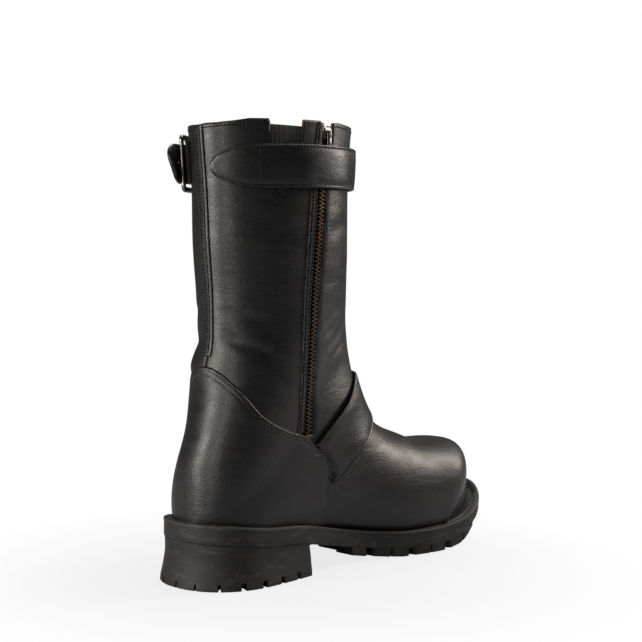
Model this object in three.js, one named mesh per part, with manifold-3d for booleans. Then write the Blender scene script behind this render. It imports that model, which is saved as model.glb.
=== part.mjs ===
// Engineer boot, left foot: a tall pull-on leather boot with a side zip, an elastic gore,
// a buckled strap at the collar and one over the instep, on a lugged sole with a block heel.
// Millimetres, +Z up, +Y to the toe, +X to the medial side. The origin is the middle of the
// heel's flat ground face.
import * as THREE from 'three';
import Module from 'manifold-3d';

const wasm = await Module();
wasm.setup();

// Driving dimensions
const SOLE_LENGTH = 306; // outsole, back of the heel to the tip of the toe
const BALL_WIDTH = 106; // outsole, widest across the ball
const HEEL_WIDTH = 85; // outsole, widest across the heel seat
const BOOT_HEIGHT = 328; // floor to collar
const INSTEP_HEIGHT = 150; // sole seat up to where the leg begins
const HEEL_RISE = 39; // floor to the sole seat at the back
const FORE_RISE = 16.2; // floor to the sole seat under the ball
const TOE_SPRING = 18; // lift of the tread at the tip of the toe
const HEEL_LENGTH = 92; // back of the heel to its breast
const HEEL_REST = 44; // back of the heel to the origin

const LEATHER = 2.2; // wall of the upper
const GAP = 0.3; // between pieces that touch
const BASE_THICKNESS = 10.3; // outsole without its lugs
const WELT_THICKNESS = 3;
const WELT_MARGIN = 8; // welt that stands out past the feather edge
const INSOLE_THICKNESS = 3.2;
const INSOLE_FIT = 1; // from its edge to the wall of the upper
const COUNTER_THICKNESS = 1.7;
const STRIP_THICKNESS = 1.1;
const STRIP_WIDTH = 9; // back seam strip
const STRAP_THICKNESS = 2.3;
const GORE_SUNK = 0.5; // elastic below the leather's face
const GORE_CLEAR = 1.2; // its corners inside those of the notch

const HEEL_FLARE = 2.8; // how far the block spreads at the floor
const HEEL_WAIST = 0.8; // how far it draws in at mid height
const NOTCH_WIDTH = 4.2; // gaps between the lugs round the heel
const NOTCH_DEPTH = 8;
const NOTCH_HEIGHT = 5;
const HEEL_LUG_PITCH = 16.5;
const LUG_PITCH = 20; // lugs round the forefoot
const LUG_GAP = 4.6;
const LUG_REACH = 19; // from the edge towards the middle
const BAR_LENGTH = 30; // bars of tread down the middle
const BAR_WIDTH = 11;
const TREAD_FLAT = 0.4; // rise of the seat that the tread levels out, so that it rests flat

const ZIP_GAP = 9; // slit in the leather
const ZIP_MOUTH = 13; // slit where the slider sits
const ZIP_TAPE_WIDTH = 24;
const ZIP_TAPE_THICKNESS = 0.9;
const CHAIN_WIDTH = 6.4;
const CHAIN_PROUD = 0.7;
const STOP = { width: 7.4, height: 2.8, proud: 1.1 };
const TAPE_BELOW = 8; // tape past the foot of the slit
const SLIDER = { width: 10, height: 9, thickness: 3.6 };
const PULL = { width: 5.2, length: 21, thickness: 1.2, hole: 2.4 };

const STRAP_WIDTH = 30.5; // collar strap
const TAIL_WIDTH = 27; // its buckled end
const FRAME_MARGIN = 6.2; // buckle frame past each edge of its strap
const FRAME_LENGTH = 27;
const FRAME_BAR = 4.2;
const FRAME_THICKNESS = 3.2;
const FRAME_ROUND = 5; // radius of its outer corners
const HOLE_ROUND = 1.5; // and of its inner ones
const TAIL_CLEAR = 1.5; // frame's hole past each edge of the buckled end
const PRONG = 2.4;

// Outline of the sole: share of the length, then each half width as shares of the heel
// width and of the ball width
const HALF_WIDTHS = [
  // along, medial by heel, medial by ball, lateral by heel, lateral by ball
  [0, 0.47, 0, 0.47, 0],
  [0.07, 0.485, 0, 0.488, 0],
  [0.14, 0.498, 0, 0.502, 0],
  [0.283, 0.466, 0, 0.487, 0],
  [0.42, 0.2, 0.163, 0.24, 0.195],
  [0.548, 0, 0.366, 0, 0.432],
  [0.656, 0, 0.444, 0, 0.496],
  [0.734, 0, 0.47, 0, 0.522],
  [0.84, 0, 0.465, 0, 0.505],
  [1, 0, 0.45, 0, 0.445],
];
// Height of the sole seat: share of the length, then shares of heel rise, fore rise, spring
const SEAT = [
  [0, 1, 0, 0],
  [0.141, 0.95, 0, 0],
  [0.283, 0.866, 0, 0],
  [0.42, 0.4, 0.6, 0],
  [0.548, 0.12, 0.88, 0],
  [0.656, 0, 1, 0],
  [0.734, 0, 1, 0],
  [0.834, 0, 1, 0.2],
  [0.913, 0, 1, 0.54],
  [1, 0, 1, 1],
];
// Sideways bend of the middle line: share of the length, share of the ball width
const BEND = [
  [0, 0],
  [0.3, 0],
  [0.5, 0],
  [0.75, 0.02],
  [1, 0.055],
];
const HEEL_ROUND = 0.135; // share of the length that rounds off the back
const TOE_ROUND = 0.21; // and the toe
const HEEL_POWER = 2.3;
const TOE_POWER = 2.4;

// Sections of the upper, from the toe edge back round the heel and up to the collar.
// Each lies in a plane through a back point and a front point. back and front are shares
// of the sole's length, foot of the instep height above the seat, leg of what is left up
// to the collar. medial and lateral are half widths as shares of the ball width, rise is
// where the section is widest, low and high are its roundness there, shift its top's
// sideways place, and strips the rows of facets up to the next section.
const SECTIONS = [
  // back, foot, leg, front, foot, leg, medial, lateral, rise, low, high, shift, strips
  [0.775, 0, 0, 0.953, 0, 0, 0.39, 0.432, 0, 2.2, 2.15, 0.048, 1],
  [0.774, 0, 0, 0.962, 0.1, 0, 0.401, 0.443, 0.03, 2.2, 2.15, 0.048, 2],
  [0.772, 0, 0, 0.957, 0.265, 0, 0.426, 0.463, 0.08, 2.2, 2.2, 0.048, 2],
  [0.769, 0, 0, 0.921, 0.385, 0, 0.443, 0.477, 0.15, 2.2, 2.4, 0.044, 2],
  [0.76, 0, 0, 0.853, 0.447, 0, 0.449, 0.485, 0.23, 2.2, 2.5, 0.038, 2],
  [0.738, 0, 0, 0.78, 0.478, 0, 0.453, 0.498, 0.26, 2.2, 2.4, 0.027, 2],
  [0.693, 0, 0, 0.698, 0.515, 0, 0.457, 0.51, 0.24, 2.2, 2.2, 0.021, 2],
  [0.62, 0, 0, 0.62, 0.578, 0, 0.445, 0.505, 0.236, 2.2, 2, 0.013, 2],
  [0.531, 0, 0, 0.572, 0.665, 0, 0.412, 0.463, 0.263, 2.2, 1.95, 0.006, 2],
  [0.422, 0, 0, 0.539, 0.796, 0, 0.382, 0.407, 0.3, 2.2, 1.95, 0, 2],
  [0.294, 0, 0, 0.527, 0.945, 0, 0.373, 0.382, 0.34, 2.3, 1.95, 0, 2],
  [0.162, 0, 0, 0.515, 1, 0.058, 0.373, 0.382, 0.38, 2.5, 2, 0, 2],
  [0.084, 0, 0, 0.51, 1, 0.118, 0.376, 0.384, 0.4, 2.6, 2, 0, 1],
  [0.041, 0, 0, 0.507, 1, 0.165, 0.382, 0.388, 0.42, 2.6, 2, 0, 2],
  [0.026, 0, 0, 0.506, 1, 0.19, 0.387, 0.39, 0.43, 2.6, 2, 0, 1],
  [0.0232, 0.1, 0, 0.505, 1, 0.215, 0.392, 0.392, 0.44, 2.5, 2, 0, 1],
  [0.0237, 0.25, 0, 0.504, 1, 0.245, 0.396, 0.396, 0.45, 2.3, 2, 0, 2],
  [0.0454, 0.47, 0, 0.504, 1, 0.31, 0.4, 0.4, 0.46, 2.1, 2, 0, 2],
  [0.075, 0.68, 0, 0.504, 1, 0.38, 0.405, 0.405, 0.48, 2, 2, 0, 2],
  [0.091, 0.9, 0, 0.505, 1, 0.46, 0.413, 0.413, 0.5, 2, 2, 0, 1],
  [0.089, 1, 0.14, 0.505, 1, 0.56, 0.423, 0.423, 0.5, 2, 2, 0, 1],
  [0.077, 1, 0.5, 0.508, 1, 0.75, 0.433, 0.433, 0.5, 2, 2, 0, 1],
  [0.0572, 1, 0.995, 0.52, 1, 1.01, 0.445, 0.445, 0.5, 2, 2, 0, 0],
];
const CLOSED = 14; // first section that is closed at the back
const TOE_RISE = 0.4; // up to this foot share of its front, a section follows the seat's curve
const LAST = SECTIONS.length - 1;
const BY_ROW = SECTIONS.map((values, k) => [k, ...values]);
const COLUMNS = 24; // facets across a section

// Shapes seen from the side: shares of the sole's length and of the boot's height
const ZIP_LINE = [
  // height, place
  [0.3, 0.303],
  [0.5, 0.305],
  [0.72, 0.31],
  [0.87, 0.315],
  [1, 0.329],
];
const ZIP_FOOT = 0.306; // height of the bottom stop
const COUNTER_EDGE = [
  // place, height
  [-0.1, 0.474],
  [0.077, 0.474],
  [0.082, 0.452],
  [0.104, 0.406],
  [0.142, 0.354],
  [0.215, 0.327],
  [0.281, 0.313],
  [0.312, 0.289],
  [0.359, 0.256],
  [0.368, 0.225],
  [0.362, 0.185],
  [0.36, -0.1],
  [-0.1, -0.1],
];
const GORE_V = [
  // place, height
  [0.168, 1.05],
  [0.174, 0.94],
  [0.197, 0.822],
  [0.207, 0.822],
  [0.234, 0.94],
  [0.252, 1.05],
];
const GORE_DIP = 0.007; // how far the elastic stays below the collar
const STRIP_FOOT = 0.481; // lower end of the back seam strip
const STRIP_FRONT = 0.17; // nothing of the strip lies before this place

// Collar strap by its place round the leg, from 1 at the back over the medial side and
// the front to -1: height of its middle, and how far it stands off the leather
const COLLAR_STRAP = [
  // place, height as share of the boot's, stand-off in mm
  [-0.95, 0.928, 0.5],
  [-0.5, 0.924, 0.9],
  [0, 0.917, 1.5],
  [0.25, 0.914, 2.6],
  [0.42, 0.91, 4.6],
  [0.54, 0.907, 4.6],
  [0.7, 0.903, 0.7],
  [0.95, 0.901, 0.5],
];
const STRAP_TIP = 0.935;
const STRAP_SHOULDER = 0.71; // where the sewn oval end begins
const COLLAR_BUCKLE = -0.735;

// Instep strap: place across the foot, its lower and upper edge as section numbers, and
// how far it stands off the leather
const INSTEP_STRAP = [
  [-0.7, 9.7, 11.1, 0.9],
  [-0.575, 9.4, 10.62, 0.9],
  [-0.43, 8.84, 10.2, 0.9],
  [-0.295, 8.35, 9.86, 1],
  [0, 7.85, 9.25, 1.4],
  [0.295, 8.35, 9.86, 1],
  [0.43, 8.84, 10.2, 0.9],
  [0.575, 9.4, 10.62, 0.9],
  [0.73, 9.78, 11.1, 0.9],
];
const INSTEP_BUCKLE = -0.475;

// Reading a table between its rows, by cubic pieces that never overshoot
function reading(table, at) {
  const last = table.length - 1;
  const x = Math.min(Math.max(at, table[0][0]), table[last][0]);
  let i = 0;
  while (i < last - 1 && x > table[i + 1][0]) i += 1;
  const span = table[i + 1][0] - table[i][0];
  const t = (x - table[i][0]) / span;
  const from = 2 * t ** 3 - 3 * t ** 2 + 1;
  const leaving = t ** 3 - 2 * t ** 2 + t;
  const arriving = t ** 3 - t ** 2;
  const slope = (k, column) =>
    (table[k + 1][column] - table[k][column]) / (table[k + 1][0] - table[k][0]);
  const tangent = (k, column) => {
    if (k === 0) return slope(0, column);
    if (k === last) return slope(last - 1, column);
    const before = slope(k - 1, column);
    const after = slope(k, column);
    return before * after > 0 ? (2 * before * after) / (before + after) : 0;
  };
  return table[i].slice(1).map((_, c) => {
    const column = c + 1;
    const ends = from * table[i][column] + (1 - from) * table[i + 1][column];
    return ends + span * (leaving * tangent(i, column) + arriving * tangent(i + 1, column));
  });
}

// The sole's own functions
function seatHeight(y) {
  const [heel, fore, spring] = reading(SEAT, y / SOLE_LENGTH);
  return heel * HEEL_RISE + fore * FORE_RISE + spring * TOE_SPRING;
}

function halfWidth(y, medial, inset) {
  const row = reading(HALF_WIDTHS, y / SOLE_LENGTH);
  const [byHeel, byBall] = medial ? row.slice(0, 2) : row.slice(2, 4);
  const along = Math.min(Math.max((y - inset) / (SOLE_LENGTH - 2 * inset), 0), 1);
  const back = Math.max(1 - along / HEEL_ROUND, 0);
  const front = Math.max((along - 1 + TOE_ROUND) / TOE_ROUND, 0);
  const backEnd = (1 - back ** HEEL_POWER) ** (1 / HEEL_POWER);
  const frontEnd = (1 - front ** TOE_POWER) ** (1 / TOE_POWER);
  return (byHeel * HEEL_WIDTH + byBall * BALL_WIDTH - inset) * backEnd * frontEnd;
}

function middleLine(y) {
  return BALL_WIDTH * reading(BEND, y / SOLE_LENGTH)[0];
}

// A point of the sole's outline: turn goes from 0 at the back over the medial side to 1 at
// the toe and over the lateral side to 2
function outlinePoint(turn, inset) {
  const y = inset + (SOLE_LENGTH / 2 - inset) * (1 - Math.cos(Math.PI * turn));
  const medial = turn <= 1;
  return new THREE.Vector2(middleLine(y) + (medial ? 1 : -1) * halfWidth(y, medial, inset), y);
}

// A point of the upper's outer face: row counts the sections, s goes across from -1 on the
// lateral side over 0 at the ridge to 1 on the medial side
function section(row, s) {
  const [backY, backFoot, backLeg, frontY, frontFoot, frontLeg, ...shape] = reading(BY_ROW, row);
  const [medial, lateral, rise, low, high, shift] = shape;
  const height = (y, foot, leg) => {
    const start = seatHeight(y * SOLE_LENGTH) + GAP + foot * INSTEP_HEIGHT;
    return start + (BOOT_HEIGHT - start) * leg;
  };
  const y0 = backY * SOLE_LENGTH;
  const y1 = frontY * SOLE_LENGTH;
  const z0 = height(backY, backFoot, backLeg);
  const z1 = height(frontY, frontFoot, frontLeg);
  const side = (s >= 0 ? medial : lateral) * BALL_WIDTH;
  const seat = row >= CLOSED ? 0 : halfWidth(y0, s >= 0, WELT_MARGIN);
  const startAngle = Math.acos(Math.min(Math.max(seat / side, 0), 1) ** (low / 2));
  const angle = (1 - Math.abs(s)) * (startAngle + Math.PI / 2) - startAngle;
  const power = 2 / (angle < 0 ? low : high);
  const wide = Math.max(Math.cos(angle), 0) ** power;
  const tall = Math.abs(Math.sin(angle)) ** power;
  const drop = rise / Math.max(Math.sin(startAngle) ** (2 / low), 0.35);
  const h = angle < 0 ? rise - drop * tall : rise + (1 - rise) * tall;
  const bent = Math.min(Math.max(h, 0), 1);
  const middle = middleLine(y0) * (1 - bent) + shift * BALL_WIDTH * bent;
  const y = y0 + (y1 - y0) * h;
  const straight = seatHeight(y0) + (seatHeight(y1) - seatHeight(y0)) * h;
  const onSeat = Math.max(1 - frontFoot / TOE_RISE, 0);
  const z = z0 + (z1 - z0) * h + (seatHeight(y) - straight) * onSeat;
  return new THREE.Vector3(middle + Math.sign(s) * wide * side, y, z);
}

// The outward direction of the upper's face, from points a little to each side
function outward(row, s) {
  const step = 0.02;
  const along = section(Math.min(row + step, LAST), s).sub(section(row - step, s));
  const across = section(row, s + step).sub(section(row, s - step));
  return along.cross(across).normalize();
}

function lifted(row, s, offset) {
  return section(row, s).addScaledVector(outward(row, s), offset);
}

const LEG_FROM = 10; // the row above which the sections climb the leg

// The row of the leg where the face is at a height, found by halving
function rowAtHeight(s, z) {
  let low = LEG_FROM;
  let high = LAST;
  for (let n = 0; n < 26; n += 1) {
    const middle = (low + high) / 2;
    if (section(middle, s).z < z) low = middle;
    else high = middle;
  }
  return (low + high) / 2;
}

// Solids from points and faces: equal points are merged and the faces turned outwards
function solid(points, faces) {
  const places = new Map();
  const vertices = [];
  const merged = points.map((p) => {
    const key = [p.x, p.y, p.z].map((v) => Math.round(v * 1e4)).join(',');
    if (!places.has(key)) {
      places.set(key, vertices.length / 3);
      vertices.push(p.x, p.y, p.z);
    }
    return places.get(key);
  });
  const corner = (k) => new THREE.Vector3(...vertices.slice(3 * k, 3 * k + 3));
  const triangles = faces
    .map((face) => face.map((k) => merged[k]))
    .filter(([a, b, c]) => a !== b && b !== c && a !== c);
  const volume = triangles.reduce(
    (sum, [a, b, c]) => sum + corner(a).dot(corner(b).cross(corner(c))), 0);
  const turned = volume < 0 ? triangles.map(([a, b, c]) => [a, c, b]) : triangles;
  return new wasm.Manifold(new wasm.Mesh({
    numProp: 3,
    vertProperties: new Float32Array(vertices),
    triVerts: new Uint32Array(turned.flat()),
  }));
}

// A list of points and of four-cornered faces that grows, for the functions below
function sheet() {
  const points = [];
  const faces = [];
  const quad = (a, b, c, d) => {
    const k = points.length;
    points.push(a, b, c, d);
    faces.push([k, k + 1, k + 2], [k, k + 2, k + 3]);
  };
  return { quad, close: () => solid(points, faces) };
}

// A solid between two grids of points, closed along its four edges
function slab(inner, outer) {
  const { quad, close } = sheet();
  const rows = inner.length - 1;
  const columns = inner[0].length - 1;
  for (let i = 0; i < rows; i += 1) {
    for (let j = 0; j < columns; j += 1) {
      quad(outer[i][j], outer[i + 1][j], outer[i + 1][j + 1], outer[i][j + 1]);
      quad(inner[i][j], inner[i][j + 1], inner[i + 1][j + 1], inner[i + 1][j]);
    }
    quad(outer[i + 1][0], outer[i][0], inner[i][0], inner[i + 1][0]);
    quad(outer[i][columns], outer[i + 1][columns], inner[i + 1][columns], inner[i][columns]);
  }
  for (let j = 0; j < columns; j += 1) {
    quad(outer[0][j], outer[0][j + 1], inner[0][j + 1], inner[0][j]);
    quad(outer[rows][j + 1], outer[rows][j], inner[rows][j], inner[rows][j + 1]);
  }
  return close();
}

// A solid from rings of points, one above the other, with a fan over each end
function stack(rings) {
  const { quad, close } = sheet();
  const count = rings[0].length;
  const sum = (ring) => ring.reduce((total, p) => total.add(p), new THREE.Vector3());
  const centre = (ring) => sum(ring).divideScalar(count);
  const ends = [centre(rings[0]), centre(rings[rings.length - 1])];
  for (let j = 0; j < count; j += 1) {
    const next = (j + 1) % count;
    for (let i = 0; i < rings.length - 1; i += 1) {
      quad(rings[i][j], rings[i][next], rings[i + 1][next], rings[i + 1][j]);
    }
    const top = rings[rings.length - 1];
    quad(ends[0], rings[0][next], rings[0][j], rings[0][j]);
    quad(ends[1], top[j], top[next], top[next]);
  }
  return close();
}

// A shape seen from the side, carried through the boot from one x to another
function sideways(shape, x0, x1) {
  const outline = new THREE.Shape(shape.map(([y, z]) => new THREE.Vector2(y, z)));
  const geometry = new THREE.ExtrudeGeometry(outline, { depth: x1 - x0, bevelEnabled: false });
  const place = new THREE.Matrix4().makeBasis(
    new THREE.Vector3(0, 1, 0), new THREE.Vector3(0, 0, 1), new THREE.Vector3(1, 0, 0));
  place.setPosition(x0, 0, 0);
  return fromGeometry(geometry, place);
}

function fromGeometry(geometry, place) {
  const source = geometry.index ? geometry.toNonIndexed() : geometry;
  const position = source.getAttribute('position');
  const points = [];
  const faces = [];
  for (let k = 0; k < position.count; k += 1) {
    points.push(new THREE.Vector3().fromBufferAttribute(position, k).applyMatrix4(place));
    if (k % 3 === 2) faces.push([k - 2, k - 1, k]);
  }
  return solid(points, faces);
}

// The grid of the upper's outer face and its outward directions
const GRID_ROWS = SECTIONS.flatMap((values, k) => {
  const strips = values[values.length - 1];
  return Array.from({ length: strips }, (_, n) => k + n / strips);
});
GRID_ROWS.push(LAST);
const SEAM = GRID_ROWS.findIndex((row) => row >= CLOSED);
const TOP = GRID_ROWS.length - 1;
const FACE = GRID_ROWS.map((row) =>
  Array.from({ length: COLUMNS + 1 }, (_, j) => section(row, (2 * j) / COLUMNS - 1)));
const OUTWARD = outwardGrid();

function outwardGrid() {
  const sums = FACE.map((row) => row.map(() => new THREE.Vector3()));
  for (let i = 0; i < TOP; i += 1) {
    for (let j = 0; j < COLUMNS; j += 1) {
      const up = FACE[i + 1][j + 1].clone().sub(FACE[i][j]);
      const over = FACE[i][j + 1].clone().sub(FACE[i + 1][j]);
      const normal = up.cross(over);
      [[i, j], [i + 1, j], [i + 1, j + 1], [i, j + 1]].forEach(([a, b]) => sums[a][b].add(normal));
    }
  }
  for (let i = SEAM; i <= TOP; i += 1) {
    const joined = sums[i][0].clone().add(sums[i][COLUMNS]);
    sums[i][0].copy(joined);
    sums[i][COLUMNS].copy(joined);
  }
  return sums.map((row, i) => row.map((normal, j) => {
    const onFeather = i === 0 || (i <= SEAM && (j === 0 || j === COLUMNS));
    if (onFeather || i === TOP) normal.z = 0;
    return normal.normalize();
  }));
}

function offsetFace(offset) {
  return FACE.map((row, i) => row.map((p, j) => {
    const moved = p.clone().addScaledVector(OUTWARD[i][j], offset);
    return moved.setZ(Math.max(moved.z, seatHeight(moved.y) + GAP));
  }));
}

// The facets over a whole grid, with their diagonals mirrored about the ridge
function cover(quad, grid, outwards) {
  for (let i = 0; i < TOP; i += 1) {
    for (let j = 0; j < COLUMNS; j += 1) {
      const around = [grid[i][j], grid[i + 1][j], grid[i + 1][j + 1], grid[i][j + 1]];
      const [a, b, c, d] = j < COLUMNS / 2 ? around : [...around.slice(1), around[0]];
      if (outwards) quad(a, b, c, d);
      else quad(a, d, c, b);
    }
  }
}

// The leather shell between two offsets of the outer face, open at collar and feather edge
function shell(inside, outside) {
  const { quad, close } = sheet();
  const inner = offsetFace(inside);
  const outer = offsetFace(outside);
  cover(quad, outer, true);
  cover(quad, inner, false);
  for (let j = 0; j < COLUMNS; j += 1) {
    quad(outer[0][j], outer[0][j + 1], inner[0][j + 1], inner[0][j]);
    quad(outer[TOP][j + 1], outer[TOP][j], inner[TOP][j], inner[TOP][j + 1]);
  }
  for (let i = 0; i < SEAM; i += 1) {
    quad(outer[i + 1][0], outer[i][0], inner[i][0], inner[i + 1][0]);
    quad(outer[i][COLUMNS], outer[i + 1][COLUMNS], inner[i + 1][COLUMNS], inner[i][COLUMNS]);
  }
  return close();
}

// The whole form inside an offset of the outer face, carried a little below the seat
function fullForm(offset) {
  const { quad, close } = sheet();
  const below = 4;
  const face = offsetFace(offset);
  const low = face.map((row) => row.map((p) => p.clone().setZ(p.z - below)));
  cover(quad, face, true);
  for (let j = 0; j < COLUMNS; j += 1) {
    quad(face[0][j], face[0][j + 1], low[0][j + 1], low[0][j]);
  }
  for (let i = 0; i < SEAM; i += 1) {
    quad(face[i + 1][0], face[i][0], low[i][0], low[i + 1][0]);
    quad(face[i][COLUMNS], face[i + 1][COLUMNS], low[i + 1][COLUMNS], low[i][COLUMNS]);
    quad(low[i][0], low[i][COLUMNS], low[i + 1][COLUMNS], low[i + 1][0]);
  }
  for (let j = 0; j < COLUMNS / 2; j += 1) {
    const other = COLUMNS - j;
    quad(low[0][j], low[0][j + 1], low[0][other - 1], low[0][other]);
    quad(face[TOP][j + 1], face[TOP][j], face[TOP][other], face[TOP][other - 1]);
  }
  return close();
}

// A plate with the sole's outline between two heights over its length
function solePlate(inset, bottom, top) {
  const stations = 28;
  const places = Array.from({ length: stations + 1 }, (_, k) => k / stations);
  const level = (height) => places.map((turn) => [2 - turn, turn].map((side) => {
    const p = outlinePoint(side, inset);
    return new THREE.Vector3(p.x, p.y, height(p.y));
  }));
  return slab(level(bottom), level(top));
}

// Distances along the sole's outline, for lugs at an even pitch
const EDGE_SAMPLES = 800;
const EDGE_LENGTHS = [0];
for (let k = 1; k <= EDGE_SAMPLES; k += 1) {
  const before = outlinePoint((2 * k - 2) / EDGE_SAMPLES, 0);
  const here = outlinePoint((2 * k) / EDGE_SAMPLES, 0);
  EDGE_LENGTHS.push(EDGE_LENGTHS[k - 1] + before.distanceTo(here));
}

function turnAtDistance(distance) {
  const k = Math.max(EDGE_LENGTHS.findIndex((length) => length >= distance), 1);
  const t = (distance - EDGE_LENGTHS[k - 1]) / (EDGE_LENGTHS[k] - EDGE_LENGTHS[k - 1]);
  return (2 * (k - 1 + t)) / EDGE_SAMPLES;
}

function distanceAtPlace(y) {
  const turn = Math.acos(1 - (2 * y) / SOLE_LENGTH) / Math.PI;
  const k = Math.round((turn * EDGE_SAMPLES) / 2);
  return EDGE_LENGTHS[k];
}

// Outsole: a plate under the whole foot with lugs round the forefoot and bars between them
const baseBottom = (y) => seatHeight(y) - BASE_THICKNESS;
const treadBottom = (y) => Math.max(seatHeight(y) - FORE_RISE - TREAD_FLAT, 0);

function lug(corners) {
  const sunk = 0.8;
  const ring = (height) => corners.map((p) => new THREE.Vector3(p.x, p.y, height(p.y)));
  return stack([ring(treadBottom), ring((y) => baseBottom(y) + sunk)]);
}

function edgeLug(from, to) {
  const turns = [from, (from + to) / 2, to].map(turnAtDistance);
  const outer = turns.map((turn) => outlinePoint(turn, 0.4));
  const inner = turns.map((turn) => outlinePoint(turn, LUG_REACH)).reverse();
  return lug([...outer, ...inner]);
}

const LUGS_FROM = 0.46; // where the edge lugs start, as a share of the length
const BARS_FROM = 0.53; // middle of the first bar
const BARS_SPAN = 0.36; // length that the bars take up
const BARS_ASIDE = 0.02; // how far they lie to the lateral side, as a share of the ball width

function outsole() {
  let body = solePlate(0, baseBottom, seatHeight);
  const treadStart = distanceAtPlace(LUGS_FROM * SOLE_LENGTH);
  const run = EDGE_LENGTHS[EDGE_SAMPLES] - 2 * treadStart;
  const lugs = Math.round(run / LUG_PITCH);
  const pitch = run / lugs;
  for (let k = 0; k < lugs; k += 1) {
    const from = treadStart + k * pitch + LUG_GAP / 2;
    body = body.add(edgeLug(from, from + pitch - LUG_GAP));
  }
  const bars = Math.floor((BARS_SPAN * SOLE_LENGTH) / LUG_PITCH);
  for (let k = 0; k < bars; k += 1) {
    const y = BARS_FROM * SOLE_LENGTH + k * LUG_PITCH;
    const x = middleLine(y) - BARS_ASIDE * BALL_WIDTH;
    const corners = [[-1, -1], [1, -1], [1, 1], [-1, 1]].map(([a, b]) =>
      new THREE.Vector2(x + (a * BAR_LENGTH) / 2, y + (b * BAR_WIDTH) / 2));
    body = body.add(lug(corners));
  }
  return body;
}

// Heel block: the back of the outline, waisted and flared to the floor, notched into lugs
const SPREAD_HEIGHT = 0.3; // share of the heel's rise where the flare ends
const WAIST_HEIGHT = 0.6; // and where it is narrowest

function heel() {
  const count = 28;
  const breastTurn = Math.acos(1 - (2 * HEEL_LENGTH) / SOLE_LENGTH) / Math.PI;
  const ring = (z, spread) => Array.from({ length: count + 1 }, (_, k) => {
    const turn = breastTurn * (1 - (2 * k) / count);
    const side = turn < 0 ? 2 + turn : turn;
    const p = outlinePoint(side, 0);
    const away = new THREE.Vector2(p.x - middleLine(p.y), p.y - HEEL_REST).normalize();
    const y = Math.min(p.y + away.y * spread, HEEL_LENGTH);
    return new THREE.Vector3(p.x + away.x * spread, y, z);
  });
  const raised = stack([
    ring(0, HEEL_FLARE),
    ring(SPREAD_HEIGHT * HEEL_RISE, HEEL_WAIST),
    ring(WAIST_HEIGHT * HEEL_RISE, -HEEL_WAIST),
    ring(HEEL_RISE + HEEL_FLARE, 0),
  ]);
  let body = raised.intersect(solePlate(-2 * HEEL_FLARE, () => -1, (y) => baseBottom(y) - GAP));
  const run = distanceAtPlace(HEEL_LENGTH);
  const reach = EDGE_LENGTHS[EDGE_SAMPLES];
  const notches = Math.floor((2 * run) / HEEL_LUG_PITCH);
  const pitch = (2 * run) / notches;
  for (let k = 1; k < notches; k += 1) {
    const distance = (reach - run + k * pitch) % reach;
    const turn = turnAtDistance(distance);
    const p = outlinePoint(turn, 0);
    const towards = new THREE.Vector2(middleLine(p.y) - p.x, HEEL_REST - p.y).normalize();
    const box = new THREE.BoxGeometry(2 * NOTCH_DEPTH, NOTCH_WIDTH, 2 * NOTCH_HEIGHT);
    const place = new THREE.Matrix4().makeRotationZ(Math.atan2(towards.y, towards.x));
    place.setPosition(p.x, p.y, 0);
    body = body.subtract(fromGeometry(box, place));
  }
  return body;
}

// Welt and insole: plates over the seat, one round the upper and one inside it
const weltTop = (y) => seatHeight(y) + GAP + WELT_THICKNESS;

function welt() {
  return solePlate(0, (y) => seatHeight(y) + GAP, weltTop).subtract(fullForm(GAP));
}

function insole() {
  const bottom = (y) => seatHeight(y) + GAP;
  const top = (y) => bottom(y) + INSOLE_THICKNESS;
  return solePlate(WELT_MARGIN + LEATHER + INSOLE_FIT, bottom, top)
    .intersect(fullForm(-LEATHER - INSOLE_FIT));
}

// Side shapes in millimetres
const outOf = (table) => table.map(([place, height]) => [place * SOLE_LENGTH, height * BOOT_HEIGHT]);
const HALF_SPAN = BALL_WIDTH; // wider than any half of the boot
const PAST = 10; // how far a cutting shape runs past what it cuts

// A band that follows the zip, as wide as asked, between two heights
function zipBand(width, low, high) {
  const steps = 5;
  const heights = Array.from({ length: steps + 1 }, (_, k) => low + ((high - low) * k) / steps);
  const edge = (side) => heights.map((z) => [zipPlace(z) + (side * width) / 2, z]);
  return sideways([...edge(1), ...edge(-1).reverse()], 0, HALF_SPAN);
}

function zipPlace(z) {
  return reading(ZIP_LINE, z / BOOT_HEIGHT)[0] * SOLE_LENGTH;
}

// A shape moved out by a distance from its middle, for a cut with clearance round a piece
function grown(shape, by) {
  const middle = shape.reduce(([y, z], p) => [y + p[0] / shape.length, z + p[1] / shape.length], [0, 0]);
  return shape.map(([y, z]) => {
    const reach = Math.hypot(y - middle[0], z - middle[1]);
    const factor = 1 + by / reach;
    return [middle[0] + (y - middle[0]) * factor, middle[1] + (z - middle[1]) * factor];
  });
}

const ZIP_BOTTOM = ZIP_FOOT * BOOT_HEIGHT;
const BELOW_RIM = 1; // from the collar's rim to the slider's top
const SLIDER_MIDDLE = BOOT_HEIGHT - SLIDER.height / 2 - BELOW_RIM;
const CHAIN_TOP = SLIDER_MIDDLE - SLIDER.height / 2 - GAP;

function upper() {
  return shell(-LEATHER, 0)
    .subtract(zipBand(ZIP_GAP, ZIP_BOTTOM, BOOT_HEIGHT + PAST))
    .subtract(zipBand(ZIP_MOUTH, SLIDER_MIDDLE - SLIDER.height, BOOT_HEIGHT + PAST))
    .subtract(sideways(outOf(GORE_V), 0, HALF_SPAN));
}

// A side shape from two corners
const block = (y0, z0, y1, z1) => [[y0, z0], [y1, z0], [y1, z1], [y0, z1]];

function gore() {
  const top = BOOT_HEIGHT * (1 - GORE_DIP);
  return shell(-LEATHER, -GORE_SUNK)
    .intersect(sideways(grown(outOf(GORE_V), -GORE_CLEAR), 0, HALF_SPAN))
    .intersect(sideways(block(0, 0, SOLE_LENGTH, top), 0, HALF_SPAN));
}

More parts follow.
